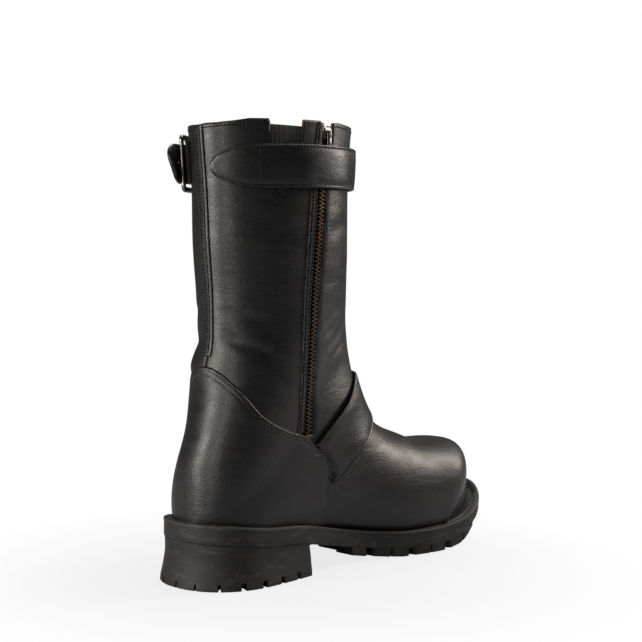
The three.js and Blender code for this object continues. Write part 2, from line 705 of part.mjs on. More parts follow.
function counter() {
  const under = solePlate(-PAST, () => -PAST, (y) => weltTop(y) + GAP);
  return shell(GAP, GAP + COUNTER_THICKNESS)
    .intersect(sideways(outOf(COUNTER_EDGE), -HALF_SPAN, HALF_SPAN))
    .subtract(under);
}

function backStrip() {
  const band = block(-PAST, STRIP_FOOT * BOOT_HEIGHT, STRIP_FRONT * SOLE_LENGTH, BOOT_HEIGHT + PAST);
  return shell(GAP, GAP + STRIP_THICKNESS)
    .intersect(sideways(band, -STRIP_WIDTH / 2, STRIP_WIDTH / 2));
}

// Zip: tape behind the slit, the chain of teeth in it, and the stop at its foot
function zipTape() {
  return shell(-LEATHER - GAP - ZIP_TAPE_THICKNESS, -LEATHER - GAP)
    .intersect(zipBand(ZIP_TAPE_WIDTH, ZIP_BOTTOM - TAPE_BELOW, CHAIN_TOP));
}

function zipChain() {
  const foot = ZIP_BOTTOM + 2 * GAP + STOP.height;
  return shell(-LEATHER, CHAIN_PROUD).intersect(zipBand(CHAIN_WIDTH, foot, CHAIN_TOP));
}

function zipStop() {
  const foot = ZIP_BOTTOM + GAP;
  return shell(-LEATHER, STOP.proud).intersect(zipBand(STOP.width, foot, foot + STOP.height));
}

// A strap: stations by their place s, each with its two edges as rows of the upper, and
// how far its inner face stands off the leather
function strap(stations, across) {
  const grid = (extra) => stations.map(({ s, low, high, off }) =>
    Array.from({ length: across + 1 }, (_, k) =>
      lifted(low + ((high - low) * k) / across, s, off + extra)));
  return slab(grid(0), grid(STRAP_THICKNESS));
}

// A buckle sits on its strap: where it is, which way the strap runs there, and its layers
const BUCKLE_LIFT = 3.6; // leather to the frame at its middle
const BAR_DROP = 1.6; // how much lower the leather is under the frame's two bars
const UNDER_BAR = 1.2; // strap's stand-off under the front bar
const OVER_BAR = BUCKLE_LIFT + BAR_DROP + FRAME_THICKNESS + 0.5;
const CLIMB = 15.5; // length over which the strap climbs from bar to bar
const TAIL_LIFT = 2.4; // how much its end springs away
const TAIL_PAST = 21; // strap past the middle of the frame

function buckleSeat(path, s) {
  const step = 0.01;
  const row = path(s);
  const point = section(row, s);
  const out = outward(row, s);
  const ahead = section(path(s + step), s + step).sub(section(path(s - step), s - step));
  const rate = ahead.length() / (2 * step);
  const side = new THREE.Vector3().crossVectors(out, ahead).normalize();
  const along = new THREE.Vector3().crossVectors(side, out).normalize();
  return { point, out, along, side, rate, s };
}

function seatMatrix(seat, lift) {
  const place = new THREE.Matrix4().makeBasis(seat.along, seat.side, seat.out);
  return place.setPosition(seat.point.clone().addScaledVector(seat.out, lift));
}

function roundedRectangle(length, height, radius) {
  const x = length / 2 - radius;
  const y = height / 2 - radius;
  const shape = new THREE.Shape();
  shape.absarc(x, y, radius, 0, Math.PI / 2);
  shape.absarc(-x, y, radius, Math.PI / 2, Math.PI);
  shape.absarc(-x, -y, radius, Math.PI, 1.5 * Math.PI);
  shape.absarc(x, -y, radius, 1.5 * Math.PI, 2 * Math.PI);
  return shape;
}

function frameGeometry(strapWidth) {
  const height = strapWidth + 2 * FRAME_MARGIN;
  const shape = roundedRectangle(FRAME_LENGTH, height, FRAME_ROUND);
  shape.holes.push(roundedRectangle(FRAME_LENGTH - 2 * FRAME_BAR, height - 2 * FRAME_BAR, HOLE_ROUND));
  const options = { depth: FRAME_THICKNESS, bevelEnabled: false, curveSegments: 3 };
  return new THREE.ExtrudeGeometry(shape, options);
}

// The prong lies over both bars of the frame, through the strap between them
function prongGeometry(extra) {
  const across = PRONG + 2 * extra;
  return new THREE.BoxGeometry(FRAME_LENGTH - 1 + 2 * extra, across, across);
}

function prongMatrix(seat) {
  return seatMatrix(seat, BUCKLE_LIFT + FRAME_THICKNESS + GAP + PRONG / 2);
}

// How a buckled strap stands off: low under the front bar, over the back bar, and out at
// its end. distance is measured from the frame's middle towards the strap's far end
function buckledStandOff(distance, base) {
  const rise = THREE.MathUtils.smoothstep(-distance, -CLIMB / 2, CLIMB / 2);
  const tail = THREE.MathUtils.smoothstep(-distance, FRAME_LENGTH / 2, TAIL_PAST);
  const near = 1 - THREE.MathUtils.smoothstep(distance, FRAME_LENGTH / 2, FRAME_LENGTH);
  const low = base + (UNDER_BAR - base) * near;
  return low + (OVER_BAR - low) * rise + TAIL_LIFT * tail;
}

const stationPlaces = (from, to, step) => {
  const count = Math.ceil(Math.abs(to - from) / step);
  return Array.from({ length: count + 1 }, (_, k) => from + ((to - from) * k) / count);
};

// Collar strap
function collarHeight(s) {
  return reading(COLLAR_STRAP, s)[0] * BOOT_HEIGHT;
}
const collarPath = (s) => rowAtHeight(s, collarHeight(s));
const collarSeat = buckleSeat(collarPath, COLLAR_BUCKLE);

function collarStation(s) {
  const distance = (s - COLLAR_BUCKLE) * collarSeat.rate;
  const narrow = 1 - THREE.MathUtils.smoothstep(distance, FRAME_LENGTH / 2, 1.5 * FRAME_LENGTH);
  const full = STRAP_WIDTH + (TAIL_WIDTH - STRAP_WIDTH) * narrow;
  const oval = Math.max((s - STRAP_SHOULDER) / (STRAP_TIP - STRAP_SHOULDER), 0);
  const half = (full / 2) * Math.max(Math.sqrt(1 - oval ** 2), 0.12);
  const z = collarHeight(s);
  return {
    s,
    low: rowAtHeight(s, z - half),
    high: rowAtHeight(s, z + half),
    off: buckledStandOff(distance, reading(COLLAR_STRAP, s)[1]),
  };
}

function collarStrap() {
  const tail = COLLAR_BUCKLE - TAIL_PAST / collarSeat.rate;
  const front = COLLAR_BUCKLE + FRAME_LENGTH / collarSeat.rate;
  const places = [
    ...stationPlaces(tail, front, 0.02),
    ...stationPlaces(front, STRAP_SHOULDER, 0.05).slice(1),
    ...stationPlaces(STRAP_SHOULDER, STRAP_TIP, 0.025).slice(1),
  ];
  return strap(places.map(collarStation), 2)
    .subtract(fromGeometry(prongGeometry(GAP), prongMatrix(collarSeat)));
}

// The short strap that holds the frame: folded round the back bar and sewn down behind it
const CHAPE = [
  // from the frame's middle, thickness
  [-27, 1.7],
  [-18, 1.7],
  [-15.5, 2.2],
  [-14, 2.7],
  [-10, 2.7],
  [-9, 1.7],
];
const CHAPE_OFF = 0.5; // off the leather
const CHAPE_WIDTH = 22;
const INSTEP_CHAPE = 20;

function chape(seat, path, width) {
  const edge = (distance, side, off) => {
    const s = seat.s + distance / seat.rate;
    const row = path(s);
    const scale = section(row + 0.1, s).sub(section(row - 0.1, s)).length() / 0.2;
    return lifted(row + (side * width) / 2 / scale, s, off);
  };
  const grid = (extra) => CHAPE.map(([distance, thickness]) =>
    [-1, 0, 1].map((side) => edge(distance, side, CHAPE_OFF + extra * thickness)));
  return slab(grid(0), grid(1));
}

// Instep strap
const instepPath = (s) => {
  const [low, high] = reading(INSTEP_STRAP, s);
  return (low + high) / 2;
};
const instepSeat = buckleSeat(instepPath, INSTEP_BUCKLE);
const instepWidth = (() => {
  const [low, high] = reading(INSTEP_STRAP, INSTEP_BUCKLE);
  return section(high, INSTEP_BUCKLE).sub(section(low, INSTEP_BUCKLE)).length();
})();
const INSTEP_TAIL = 26; // width at its buckled end
const COUNTER_CLEAR = 1; // its corners from those of the counter

function instepStation(s) {
  const [low, high, off] = reading(INSTEP_STRAP, s);
  const distance = (s - INSTEP_BUCKLE) * instepSeat.rate;
  const narrow = 1 - THREE.MathUtils.smoothstep(distance, FRAME_LENGTH / 2, 1.5 * FRAME_LENGTH);
  const share = 1 + (INSTEP_TAIL / instepWidth - 1) * narrow;
  const middle = (low + high) / 2;
  const half = ((high - low) / 2) * share;
  return { s, low: middle - half, high: middle + half, off: buckledStandOff(distance, off) };
}

function instepStrap() {
  const tail = INSTEP_BUCKLE - TAIL_PAST / instepSeat.rate;
  const front = INSTEP_BUCKLE + FRAME_LENGTH / instepSeat.rate;
  const end = INSTEP_STRAP[INSTEP_STRAP.length - 1][0];
  const places = [
    ...stationPlaces(tail, front, 0.022),
    ...stationPlaces(front, end, 0.05).slice(1),
  ];
  return strap(places.map(instepStation), 3)
    .subtract(fromGeometry(prongGeometry(GAP), prongMatrix(instepSeat)))
    .subtract(sideways(grown(outOf(COUNTER_EDGE), COUNTER_CLEAR), 0, HALF_SPAN));
}

// Slider and pull at the top of the zip
const zipTurn = (z) => {
  let low = 0.3;
  let high = 0.7;
  for (let n = 0; n < 24; n += 1) {
    const middle = (low + high) / 2;
    if (section(rowAtHeight(middle, z), middle).y > zipPlace(z)) low = middle;
    else high = middle;
  }
  return (low + high) / 2;
};
const sliderSeat = (() => {
  const s = zipTurn(SLIDER_MIDDLE);
  const row = rowAtHeight(s, SLIDER_MIDDLE);
  const out = outward(row, s).setZ(0).normalize();
  const side = new THREE.Vector3(0, 0, 1);
  const along = new THREE.Vector3().crossVectors(side, out).normalize();
  return { point: section(row, s).setZ(SLIDER_MIDDLE), out, along, side };
})();
const SLIDER_BACK = -LEATHER; // from the leather's face to the slider's back
const SLIDER_FRONT = SLIDER_BACK + SLIDER.thickness;
const POST = { width: 1.5, height: 2.4 }; // holds the pull by its eye
const EYE_BELOW_TOP = 2.4;
const PULL_ROUND = 1.6; // radius of its corners

function sliderBody() {
  const body = new THREE.BoxGeometry(SLIDER.width, SLIDER.height, SLIDER.thickness);
  const place = seatMatrix(sliderSeat, SLIDER_BACK + SLIDER.thickness / 2);
  const post = new THREE.BoxGeometry(POST.width, POST.width, 2 * POST.height);
  return fromGeometry(body, place).add(fromGeometry(post, seatMatrix(sliderSeat, SLIDER_FRONT)));
}

function pullGeometry() {
  const { width, length, thickness, hole } = PULL;
  const shape = roundedRectangle(width, length, PULL_ROUND);
  const eye = new THREE.Path();
  eye.absarc(0, length / 2 - EYE_BELOW_TOP, hole / 2, 0, 2 * Math.PI);
  shape.holes.push(eye);
  return new THREE.ExtrudeGeometry(shape, { depth: thickness, bevelEnabled: false, curveSegments: 4 });
}

// The finished boot
const boot = new THREE.Group();
const fitted = new THREE.Group();
fitted.position.set(0, -HEEL_REST, 0);
boot.add(fitted);

function material(color, roughness, metalness) {
  return new THREE.MeshStandardMaterial({ color, roughness, metalness });
}
const oiledLeather = material('#2c2b29', 0.5, 0);
const strapLeather = material('#2b2a28', 0.55, 0);
const rubber = material('#2a2a28', 0.75, 0);
const weltRubber = material('#3a3936', 0.6, 0);
const elastic = material('#23261f', 0.9, 0);
const tapeCloth = material('#161616', 0.95, 0);
const lining = material('#6b5a48', 0.85, 0);
const brass = material('#8a6a44', 0.4, 1);
const nickel = material('#b9b4a8', 0.3, 1);

function named(name, geometry, finish) {
  const mesh = new THREE.Mesh(geometry, finish);
  mesh.name = name;
  fitted.add(mesh);
  return mesh;
}

function addSolid(name, body, finish) {
  const { vertProperties, triVerts } = body.getMesh();
  const geometry = new THREE.BufferGeometry();
  geometry.setAttribute('position', new THREE.BufferAttribute(new Float32Array(vertProperties), 3));
  geometry.setIndex(new THREE.BufferAttribute(new Uint32Array(triVerts), 1));
  geometry.computeVertexNormals();
  return named(name, geometry, finish);
}

function addPlaced(name, geometry, matrix, finish) {
  const mesh = named(name, geometry, finish);
  matrix.decompose(mesh.position, mesh.quaternion, mesh.scale);
  return mesh;
}

addSolid('outsole', outsole(), rubber);
addSolid('heel', heel(), rubber);
addSolid('welt', welt(), weltRubber);
addSolid('insole', insole(), lining);
addSolid('upper', upper(), oiledLeather);
addSolid('counter', counter(), oiledLeather);
addSolid('back_strip', backStrip(), oiledLeather);
addSolid('gore', gore(), elastic);
addSolid('zip_tape', zipTape(), tapeCloth);
addSolid('zip_chain', zipChain(), brass);
addSolid('zip_stop', zipStop(), brass);
addSolid('zip_slider', sliderBody(), brass);
addPlaced('zip_pull', pullGeometry(),
  seatMatrix(sliderSeat, SLIDER_FRONT + GAP)
    .multiply(new THREE.Matrix4().makeTranslation(0, EYE_BELOW_TOP - PULL.length / 2, 0)), nickel);
addSolid('collar_strap', collarStrap(), strapLeather);
addSolid('collar_chape', chape(collarSeat, collarPath, CHAPE_WIDTH), strapLeather);
addPlaced('collar_buckle', frameGeometry(TAIL_WIDTH + 2 * TAIL_CLEAR),
  seatMatrix(collarSeat, BUCKLE_LIFT), nickel);
addPlaced('collar_prong', prongGeometry(0), prongMatrix(collarSeat), nickel);
addSolid('instep_strap', instepStrap(), strapLeather);
addSolid('instep_chape', chape(instepSeat, instepPath, INSTEP_CHAPE), strapLeather);
addPlaced('instep_buckle', frameGeometry(INSTEP_TAIL + 2 * TAIL_CLEAR),
  seatMatrix(instepSeat, BUCKLE_LIFT), nickel);
addPlaced('instep_prong', prongGeometry(0), prongMatrix(instepSeat), nickel);

export default boot;
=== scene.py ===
import bmesh
import bpy
import numpy as np
from mathutils import Matrix, Vector


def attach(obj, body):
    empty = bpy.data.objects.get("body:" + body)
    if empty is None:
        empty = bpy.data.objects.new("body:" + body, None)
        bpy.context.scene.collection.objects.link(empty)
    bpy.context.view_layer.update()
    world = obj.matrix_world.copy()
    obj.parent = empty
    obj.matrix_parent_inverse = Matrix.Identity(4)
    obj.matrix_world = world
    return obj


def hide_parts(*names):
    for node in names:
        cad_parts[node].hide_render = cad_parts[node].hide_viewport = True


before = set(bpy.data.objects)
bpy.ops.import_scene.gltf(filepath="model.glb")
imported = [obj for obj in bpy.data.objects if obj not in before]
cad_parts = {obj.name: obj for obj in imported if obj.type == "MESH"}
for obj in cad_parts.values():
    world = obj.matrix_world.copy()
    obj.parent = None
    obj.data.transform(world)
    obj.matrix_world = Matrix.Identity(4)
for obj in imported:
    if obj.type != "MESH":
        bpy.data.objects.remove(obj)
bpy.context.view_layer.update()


# Studio. A seamless white floor, two tall strip lights on the camera's left that draw the
# bands on the heel, a third behind on the right for the shaft's front, and a softbox above.
CAMERA_PLACE = Vector((0.6889, -0.6034, 0.2095))
CAMERA_TURN = np.radians(44.5)
CAMERA_DIP = np.radians(1.44)
CAMERA_ROLL = np.radians(0.18)
FOCAL_PIXELS = 1262.5
PHOTO_PIXELS = 642
SENSOR = 36
BOOT_MIDDLE = Vector((0.0, 0.11, 0.16))


def linear(colour):
    """An sRGB hex colour as linear red, green, blue and alpha."""
    srgb = np.array([int(colour[k:k + 2], 16) for k in (1, 3, 5)]) / 255
    low = srgb / 12.92
    high = ((srgb + 0.055) / 1.055) ** 2.4
    return (*np.where(srgb <= 0.04045, low, high), 1.0)


def node(tree, kind, settings=None, links=None):
    """Adds one shader node, sets its fields and its sockets, and returns it."""
    made = tree.nodes.new("ShaderNode" + kind)
    for field, value in (settings or {}).items():
        setattr(made, field, value)
    for socket, value in (links or {}).items():
        if isinstance(value, bpy.types.NodeSocket):
            tree.links.new(value, made.inputs[socket])
        else:
            made.inputs[socket].default_value = value
    return made


def new_material(name):
    """An empty node material with its output, and the tree that it is built in."""
    material = bpy.data.materials.new(name)
    material.use_nodes = True
    material.node_tree.nodes.clear()
    return material, material.node_tree


def surface(tree, shader):
    tree.links.new(shader.outputs[0], node(tree, "OutputMaterial").inputs["Surface"])


camera_data = bpy.data.cameras.new("camera")
camera_data.sensor_width = SENSOR
camera_data.lens = FOCAL_PIXELS / PHOTO_PIXELS * SENSOR
camera_data.clip_end = 50
camera = bpy.data.objects.new("camera", camera_data)
bpy.context.scene.collection.objects.link(camera)
forward = Vector((
    -np.sin(CAMERA_TURN) * np.cos(CAMERA_DIP),
    np.cos(CAMERA_TURN) * np.cos(CAMERA_DIP),
    -np.sin(CAMERA_DIP),
))
level = Vector((np.cos(CAMERA_TURN), np.sin(CAMERA_TURN), 0))
upright = level.cross(forward)
right = level * np.cos(CAMERA_ROLL) + upright * np.sin(CAMERA_ROLL)
up = upright * np.cos(CAMERA_ROLL) - level * np.sin(CAMERA_ROLL)
camera.matrix_world = Matrix((right, up, -forward)).transposed().to_4x4()
camera.matrix_world.translation = CAMERA_PLACE
bpy.context.scene.camera = camera
bpy.context.scene.view_settings.view_transform = "Standard"

# The world is white to the eye and dimmer as a light
world = bpy.data.worlds.new("studio")
bpy.context.scene.world = world
world.use_nodes = True
world.node_tree.nodes.clear()
seen = node(world.node_tree, "Background", links={"Color": linear("#ffffff"), "Strength": 1.0})
lit = node(world.node_tree, "Background", links={"Color": linear("#f6f8ff"), "Strength": 0.1})
ray = node(world.node_tree, "LightPath")
both = node(world.node_tree, "MixShader", links={
    "Fac": ray.outputs["Is Camera Ray"], 1: lit.outputs[0], 2: seen.outputs[0]})
world.node_tree.links.new(
    both.outputs[0], node(world.node_tree, "OutputWorld").inputs["Surface"])

floor_mesh = bpy.data.meshes.new("floor")
FLOOR_HALF = 6.0
floor_mesh.from_pydata(
    [(-FLOOR_HALF, -FLOOR_HALF, 0), (FLOOR_HALF, -FLOOR_HALF, 0),
     (FLOOR_HALF, FLOOR_HALF, 0), (-FLOOR_HALF, FLOOR_HALF, 0)], [], [(0, 1, 2, 3)])
floor = bpy.data.objects.new("floor", floor_mesh)
bpy.context.scene.collection.objects.link(floor)
# White seamless paper, burnt out to pure white away from the boot for the camera alone
paper, paper_tree = new_material("white seamless paper")
near = node(paper_tree, "BsdfPrincipled", links={
    "Base Color": linear("#b4b4b8"), "Roughness": 0.9, "Specular IOR Level": 0.1})
far = node(paper_tree, "Emission", links={"Color": linear("#ffffff"), "Strength": 1.0})
reach = node(paper_tree, "VectorMath", {"operation": "DISTANCE"}, {
    0: node(paper_tree, "TexCoord").outputs["Object"], 1: (0.0, 0.06, 0.0)})
fade = node(paper_tree, "MapRange", {"interpolation_type": "SMOOTHSTEP"}, {
    "Value": reach.outputs["Value"], "From Min": 0.1, "From Max": 0.3,
    "To Min": 0.8, "To Max": 1.0})
seen_only = node(paper_tree, "Math", {"operation": "MULTIPLY"}, {
    0: fade.outputs["Result"], 1: node(paper_tree, "LightPath").outputs["Is Camera Ray"]})
surface(paper_tree, node(paper_tree, "MixShader", links={
    "Fac": seen_only.outputs[0], 1: near.outputs[0], 2: far.outputs[0]}))
floor_mesh.materials.append(paper)


def softbox(name, turn, rise, distance, width, height, watts, colour):
    """A rectangular light turned and raised about the boot from the camera's side, aimed at it."""
    data = bpy.data.lights.new(name, "AREA")
    data.shape = "RECTANGLE"
    data.size = width
    data.size_y = height
    data.energy = watts
    data.color = linear(colour)[:3]
    lamp = bpy.data.objects.new(name, data)
    bpy.context.scene.collection.objects.link(lamp)
    angle = CAMERA_TURN + np.radians(turn)
    lift = np.radians(rise)
    away = Vector((np.sin(angle) * np.cos(lift), -np.cos(angle) * np.cos(lift), np.sin(lift)))
    lamp.location = BOOT_MIDDLE + away * distance
    lamp.rotation_mode = "QUATERNION"
    lamp.rotation_quaternion = away.to_track_quat("Z", "Y")


softbox("far left strip", -64, 12, 1.7, 0.3, 1.3, 26, "#fff8f0")
softbox("near left strip", -30, 14, 1.8, 0.24, 1.2, 8, "#fffaf4")
softbox("right strip", 112, 30, 1.6, 0.4, 1.2, 20, "#fff4ea")
softbox("overhead softbox", 150, 72, 1.7, 1.5, 1.2, 21, "#ffffff")


# Upper. The last's form as a function, and over it one skin of oiled black leather, 2.2 mm
# thick, cut open for the zip and the elastic and trimmed raw at the collar.
HEEL_REST = 44.0
SOLE_LENGTH = 306.0
BALL_WIDTH = 106.0
HEEL_WIDTH = 85.0
BOOT_HEIGHT = 328.0
INSTEP_HEIGHT = 150.0
HEEL_RISE = 39.0
FORE_RISE = 16.2
TOE_SPRING = 18.0
LEATHER = 2.2
GAP = 0.3
WELT_MARGIN = 8.0
HEEL_ROUND = 0.135
TOE_ROUND = 0.21
HEEL_POWER = 2.3
TOE_POWER = 2.4
HALF_WIDTHS = [
    # along, medial by heel, medial by ball, lateral by heel, lateral by ball
    (0, 0.47, 0, 0.47, 0),
    (0.07, 0.485, 0, 0.488, 0),
    (0.14, 0.498, 0, 0.502, 0),
    (0.283, 0.466, 0, 0.487, 0),
    (0.42, 0.2, 0.163, 0.24, 0.195),
    (0.548, 0, 0.366, 0, 0.432),
    (0.656, 0, 0.444, 0, 0.496),
    (0.734, 0, 0.47, 0, 0.522),
    (0.84, 0, 0.465, 0, 0.505),
    (1, 0, 0.45, 0, 0.445),
]
SEAT = [
    # along, heel rise, fore rise, toe spring
    (0, 1.1, 0, 0),
    (0.07, 1.05, 0, 0),
    (0.141, 0.97, 0, 0),
    (0.283, 0.866, 0, 0),
    (0.42, 0.4, 0.6, 0),
    (0.548, 0.12, 0.88, 0),
    (0.656, 0, 1, 0),
    (0.734, 0, 1, 0),
    (0.834, 0, 1, 0.2),
    (0.913, 0, 1, 0.58),
    (0.965, 0, 1, 1.04),
    (1, 0, 1, 1.55),
]
BEND = [(0, 0), (0.3, 0), (0.5, 0), (0.75, 0.02), (1, 0.055)]
SECTIONS = [
    # back, foot, leg, front, foot, leg, medial, lateral, rise, low, high, shift
    (0.775, 0, 0, 0.953, 0, 0, 0.39, 0.432, 0, 2.2, 2.15, 0.048),
    (0.774, 0, 0, 0.962, 0.1, 0, 0.401, 0.443, 0.03, 2.2, 2.15, 0.048),
    (0.772, 0, 0, 0.957, 0.265, 0, 0.426, 0.463, 0.08, 2.2, 2.2, 0.048),
    (0.769, 0, 0, 0.921, 0.385, 0, 0.443, 0.477, 0.15, 2.2, 2.4, 0.044),
    (0.76, 0, 0, 0.853, 0.447, 0, 0.449, 0.485, 0.23, 2.2, 2.5, 0.038),
    (0.738, 0, 0, 0.78, 0.478, 0, 0.453, 0.498, 0.26, 2.2, 2.4, 0.027),
    (0.693, 0, 0, 0.698, 0.515, 0, 0.457, 0.51, 0.24, 2.2, 2.2, 0.021),
    (0.62, 0, 0, 0.62, 0.578, 0, 0.445, 0.505, 0.236, 2.2, 2, 0.013),
    (0.531, 0, 0, 0.572, 0.665, 0, 0.412, 0.463, 0.263, 2.2, 1.95, 0.006),
    (0.422, 0, 0, 0.539, 0.796, 0, 0.382, 0.407, 0.3, 2.2, 1.95, 0),
    (0.294, 0, 0, 0.527, 0.945, 0, 0.373, 0.382, 0.34, 2.3, 1.95, 0),
    (0.162, 0, 0, 0.515, 1, 0.058, 0.373, 0.382, 0.38, 2.5, 2, 0),
    (0.084, 0, 0, 0.51, 1, 0.118, 0.376, 0.384, 0.4, 2.6, 2, 0),
    (0.041, 0, 0, 0.507, 1, 0.165, 0.382, 0.388, 0.42, 2.6, 2, 0),
    (0.026, 0, 0, 0.506, 1, 0.19, 0.387, 0.39, 0.43, 2.6, 2, 0),
    (0.0232, 0.1, 0, 0.505, 1, 0.215, 0.392, 0.392, 0.44, 2.5, 2, 0),
    (0.0237, 0.25, 0, 0.504, 1, 0.245, 0.396, 0.396, 0.45, 2.3, 2, 0),
    (0.0454, 0.47, 0, 0.504, 1, 0.31, 0.4, 0.4, 0.46, 2.1, 2, 0),
    (0.075, 0.68, 0, 0.504, 1, 0.38, 0.405, 0.405, 0.48, 2, 2, 0),
    (0.091, 0.9, 0, 0.505, 1, 0.46, 0.413, 0.413, 0.5, 2, 2, 0),
    (0.089, 1, 0.14, 0.505, 1, 0.56, 0.423, 0.423, 0.5, 2, 2, 0),
    (0.077, 1, 0.5, 0.508, 1, 0.75, 0.433, 0.433, 0.5, 2, 2, 0),
    (0.0572, 1, 1.003, 0.52, 1, 1.035, 0.445, 0.445, 0.5, 2, 2, 0),
]
CLOSED = 14
TOE_RISE = 0.4
LAST = len(SECTIONS) - 1
FIRST_SOFTENED = 3  # the back of the last keeps its own line; the other columns are softened
SOFTENED_ROWS = 0.4
FINE_ROWS = 0.01
CLOSED_BLUR = 1.0  # rows over which the form is blurred where its sections close
CLOSED_REACH = 3.2  # rows away from there over which the blur dies out
BLUR_ENDS = 0.22  # the part of a section's end that keeps its own line
POWER_BLEND = 0.7  # half the angle over which a section's lower power turns into its upper


def reading(table, at):
    """Piecewise cubics through a table's rows whose slopes are harmonic means, so that none
    overshoots. The last axis of the answer holds the table's columns."""
    table = np.asarray(table, float)
    places, values = table[:, 0], table[:, 1:]
    at = np.clip(np.asarray(at, float), places[0], places[-1])
    k = np.clip(np.searchsorted(places, at, side="right") - 1, 0, len(places) - 2)
    slopes = np.diff(values, axis=0) / np.diff(places)[:, None]
    product = slopes[:-1] * slopes[1:]
    total = np.where(product > 0, slopes[:-1] + slopes[1:], 1)
    tangents = np.vstack([slopes[:1], np.where(product > 0, 2 * product / total, 0), slopes[-1:]])
    span = (places[k + 1] - places[k])[..., None]
    t = (at - places[k])[..., None] / span
    start = 2 * t ** 3 - 3 * t ** 2 + 1
    ends = start * values[k] + (1 - start) * values[k + 1]
    leaving = (t ** 3 - 2 * t ** 2 + t) * tangents[k]
    arriving = (t ** 3 - t ** 2) * tangents[k + 1]
    return ends + span * (leaving + arriving)


def softened_sections():
    """The section table on fine rows, all but its back columns blurred along the rows by a
    bell curve, with the ends turned over so that they stay."""
    rows = np.arange(0, LAST + FINE_ROWS / 2, FINE_ROWS)
    fine = reading([(k, *row) for k, row in enumerate(SECTIONS)], rows)
    reach = int(3 * SOFTENED_ROWS / FINE_ROWS)
    bell = np.exp(-0.5 * (np.arange(-reach, reach + 1) * FINE_ROWS / SOFTENED_ROWS) ** 2)
    bell /= bell.sum()
    for column in range(FIRST_SOFTENED, fine.shape[1]):
        values = fine[:, column]
        before = 2 * values[0] - values[reach:0:-1]
        after = 2 * values[-1] - values[-2:-reach - 2:-1]
        fine[:, column] = np.convolve(np.concatenate([before, values, after]), bell, "valid")
    return rows, fine


FINE = softened_sections()


def seat_height(y):
    """Height of the sole's seat over the floor: shares of heel rise, fore rise and spring."""
    return reading(SEAT, y / SOLE_LENGTH) @ [HEEL_RISE, FORE_RISE, TOE_SPRING]


def half_width(y, medial, inset):
    """Half width of the sole's outline: a table's width times two superellipse ends."""
    row = reading(HALF_WIDTHS, y / SOLE_LENGTH)
    by_heel = np.where(medial, row[..., 0], row[..., 2])
    by_ball = np.where(medial, row[..., 1], row[..., 3])
    along = np.clip((y - inset) / (SOLE_LENGTH - 2 * inset), 0, 1)
    back = np.maximum(1 - along / HEEL_ROUND, 0)
    front = np.maximum((along - 1 + TOE_ROUND) / TOE_ROUND, 0)
    ends = (1 - back ** HEEL_POWER) ** (1 / HEEL_POWER)
    ends = ends * (1 - front ** TOE_POWER) ** (1 / TOE_POWER)
    return (by_heel * HEEL_WIDTH + by_ball * BALL_WIDTH - inset) * ends


def middle_line(y):
    """Sideways place of the sole's middle line."""
    return BALL_WIDTH * reading(BEND, y / SOLE_LENGTH)[..., 0]


def section_point(row, s):
    """A point of the last's form. Each section is an arch of two superellipse quarters
    a side, in the plane through a back point and a front point; s runs from -1 on the
    lateral side over the ridge at 0 to 1 on the medial side."""
    row, s = np.broadcast_arrays(np.asarray(row, float), np.asarray(s, float))
    rows, fine = FINE
    place = np.clip(row, 0, LAST)
    value = [np.interp(place, rows, fine[:, column]) for column in range(fine.shape[1])]
    back_y, back_foot, back_leg, front_y, front_foot, front_leg = value[:6]
    medial, lateral, rise, low, high, shift = value[6:]

    def height(y, foot, leg):
        start = seat_height(y * SOLE_LENGTH) + GAP + foot * INSTEP_HEIGHT
        return start + (BOOT_HEIGHT - start) * leg

    y0 = back_y * SOLE_LENGTH
    y1 = front_y * SOLE_LENGTH
    z0 = height(back_y, back_foot, back_leg)
    z1 = height(front_y, front_foot, front_leg)
    side = np.where(s >= 0, medial, lateral) * BALL_WIDTH
    seat = np.where(row >= CLOSED, 0, half_width(y0, s >= 0, WELT_MARGIN))
    start = np.arccos(np.clip(seat / side, 0, 1) ** (low / 2))
    angle = (1 - np.abs(s)) * (start + np.pi / 2) - start
    blend = np.clip(angle / POWER_BLEND / 2 + 0.5, 0, 1)
    power = 2 / (low + (high - low) * blend * blend * (3 - 2 * blend))
    wide = np.maximum(np.cos(angle), 0) ** power
    tall = np.abs(np.sin(angle)) ** power
    drop = rise / np.maximum(np.sin(start) ** (2 / low), 0.35)
    h = np.where(angle < 0, rise - drop * tall, rise + (1 - rise) * tall)
    bent = np.clip(h, 0, 1)
    middle = middle_line(y0) * (1 - bent) + shift * BALL_WIDTH * bent
    y = y0 + (y1 - y0) * h
    straight = seat_height(y0) + (seat_height(y1) - seat_height(y0)) * h
    on_seat = np.maximum(1 - front_foot / TOE_RISE, 0)
    z = z0 + (z1 - z0) * h + (seat_height(y) - straight) * on_seat
    return np.stack([middle + np.sign(s) * wide * side, y, z], -1)


def form(row, s):
    """A point of the upper's outer face: the last's form, blurred along the rows by a short
    bell where the sections close under the heel, but not at their ends."""
    row, s = np.broadcast_arrays(np.asarray(row, float), np.asarray(s, float))
    spread = CLOSED_BLUR * np.exp(-((row - CLOSED) / CLOSED_REACH) ** 2)
    spread = spread * np.clip((1 - np.abs(s)) / BLUR_ENDS, 0, 1)
    shares = zip((-2, -1, 0, 1, 2), (1, 4, 6, 4, 1))
    return sum(share / 16 * section_point(row + k * spread, s) for k, share in shares)


def unit(vectors):
    """Vectors of length 1 in the same directions."""
    return vectors / np.maximum(np.linalg.norm(vectors, axis=-1, keepdims=True), 1e-9)


def outward(row, s):
    """The outward direction of the form: the cross product of its two slopes."""
    step = 0.03
    along = form(np.minimum(row + step, LAST), s) - form(np.maximum(row - step, 0), s)
    over = np.clip(s + step, -1, 1)
    under = np.clip(s - step, -1, 1)
    return unit(np.cross(along, form(row, over) - form(row, under)))


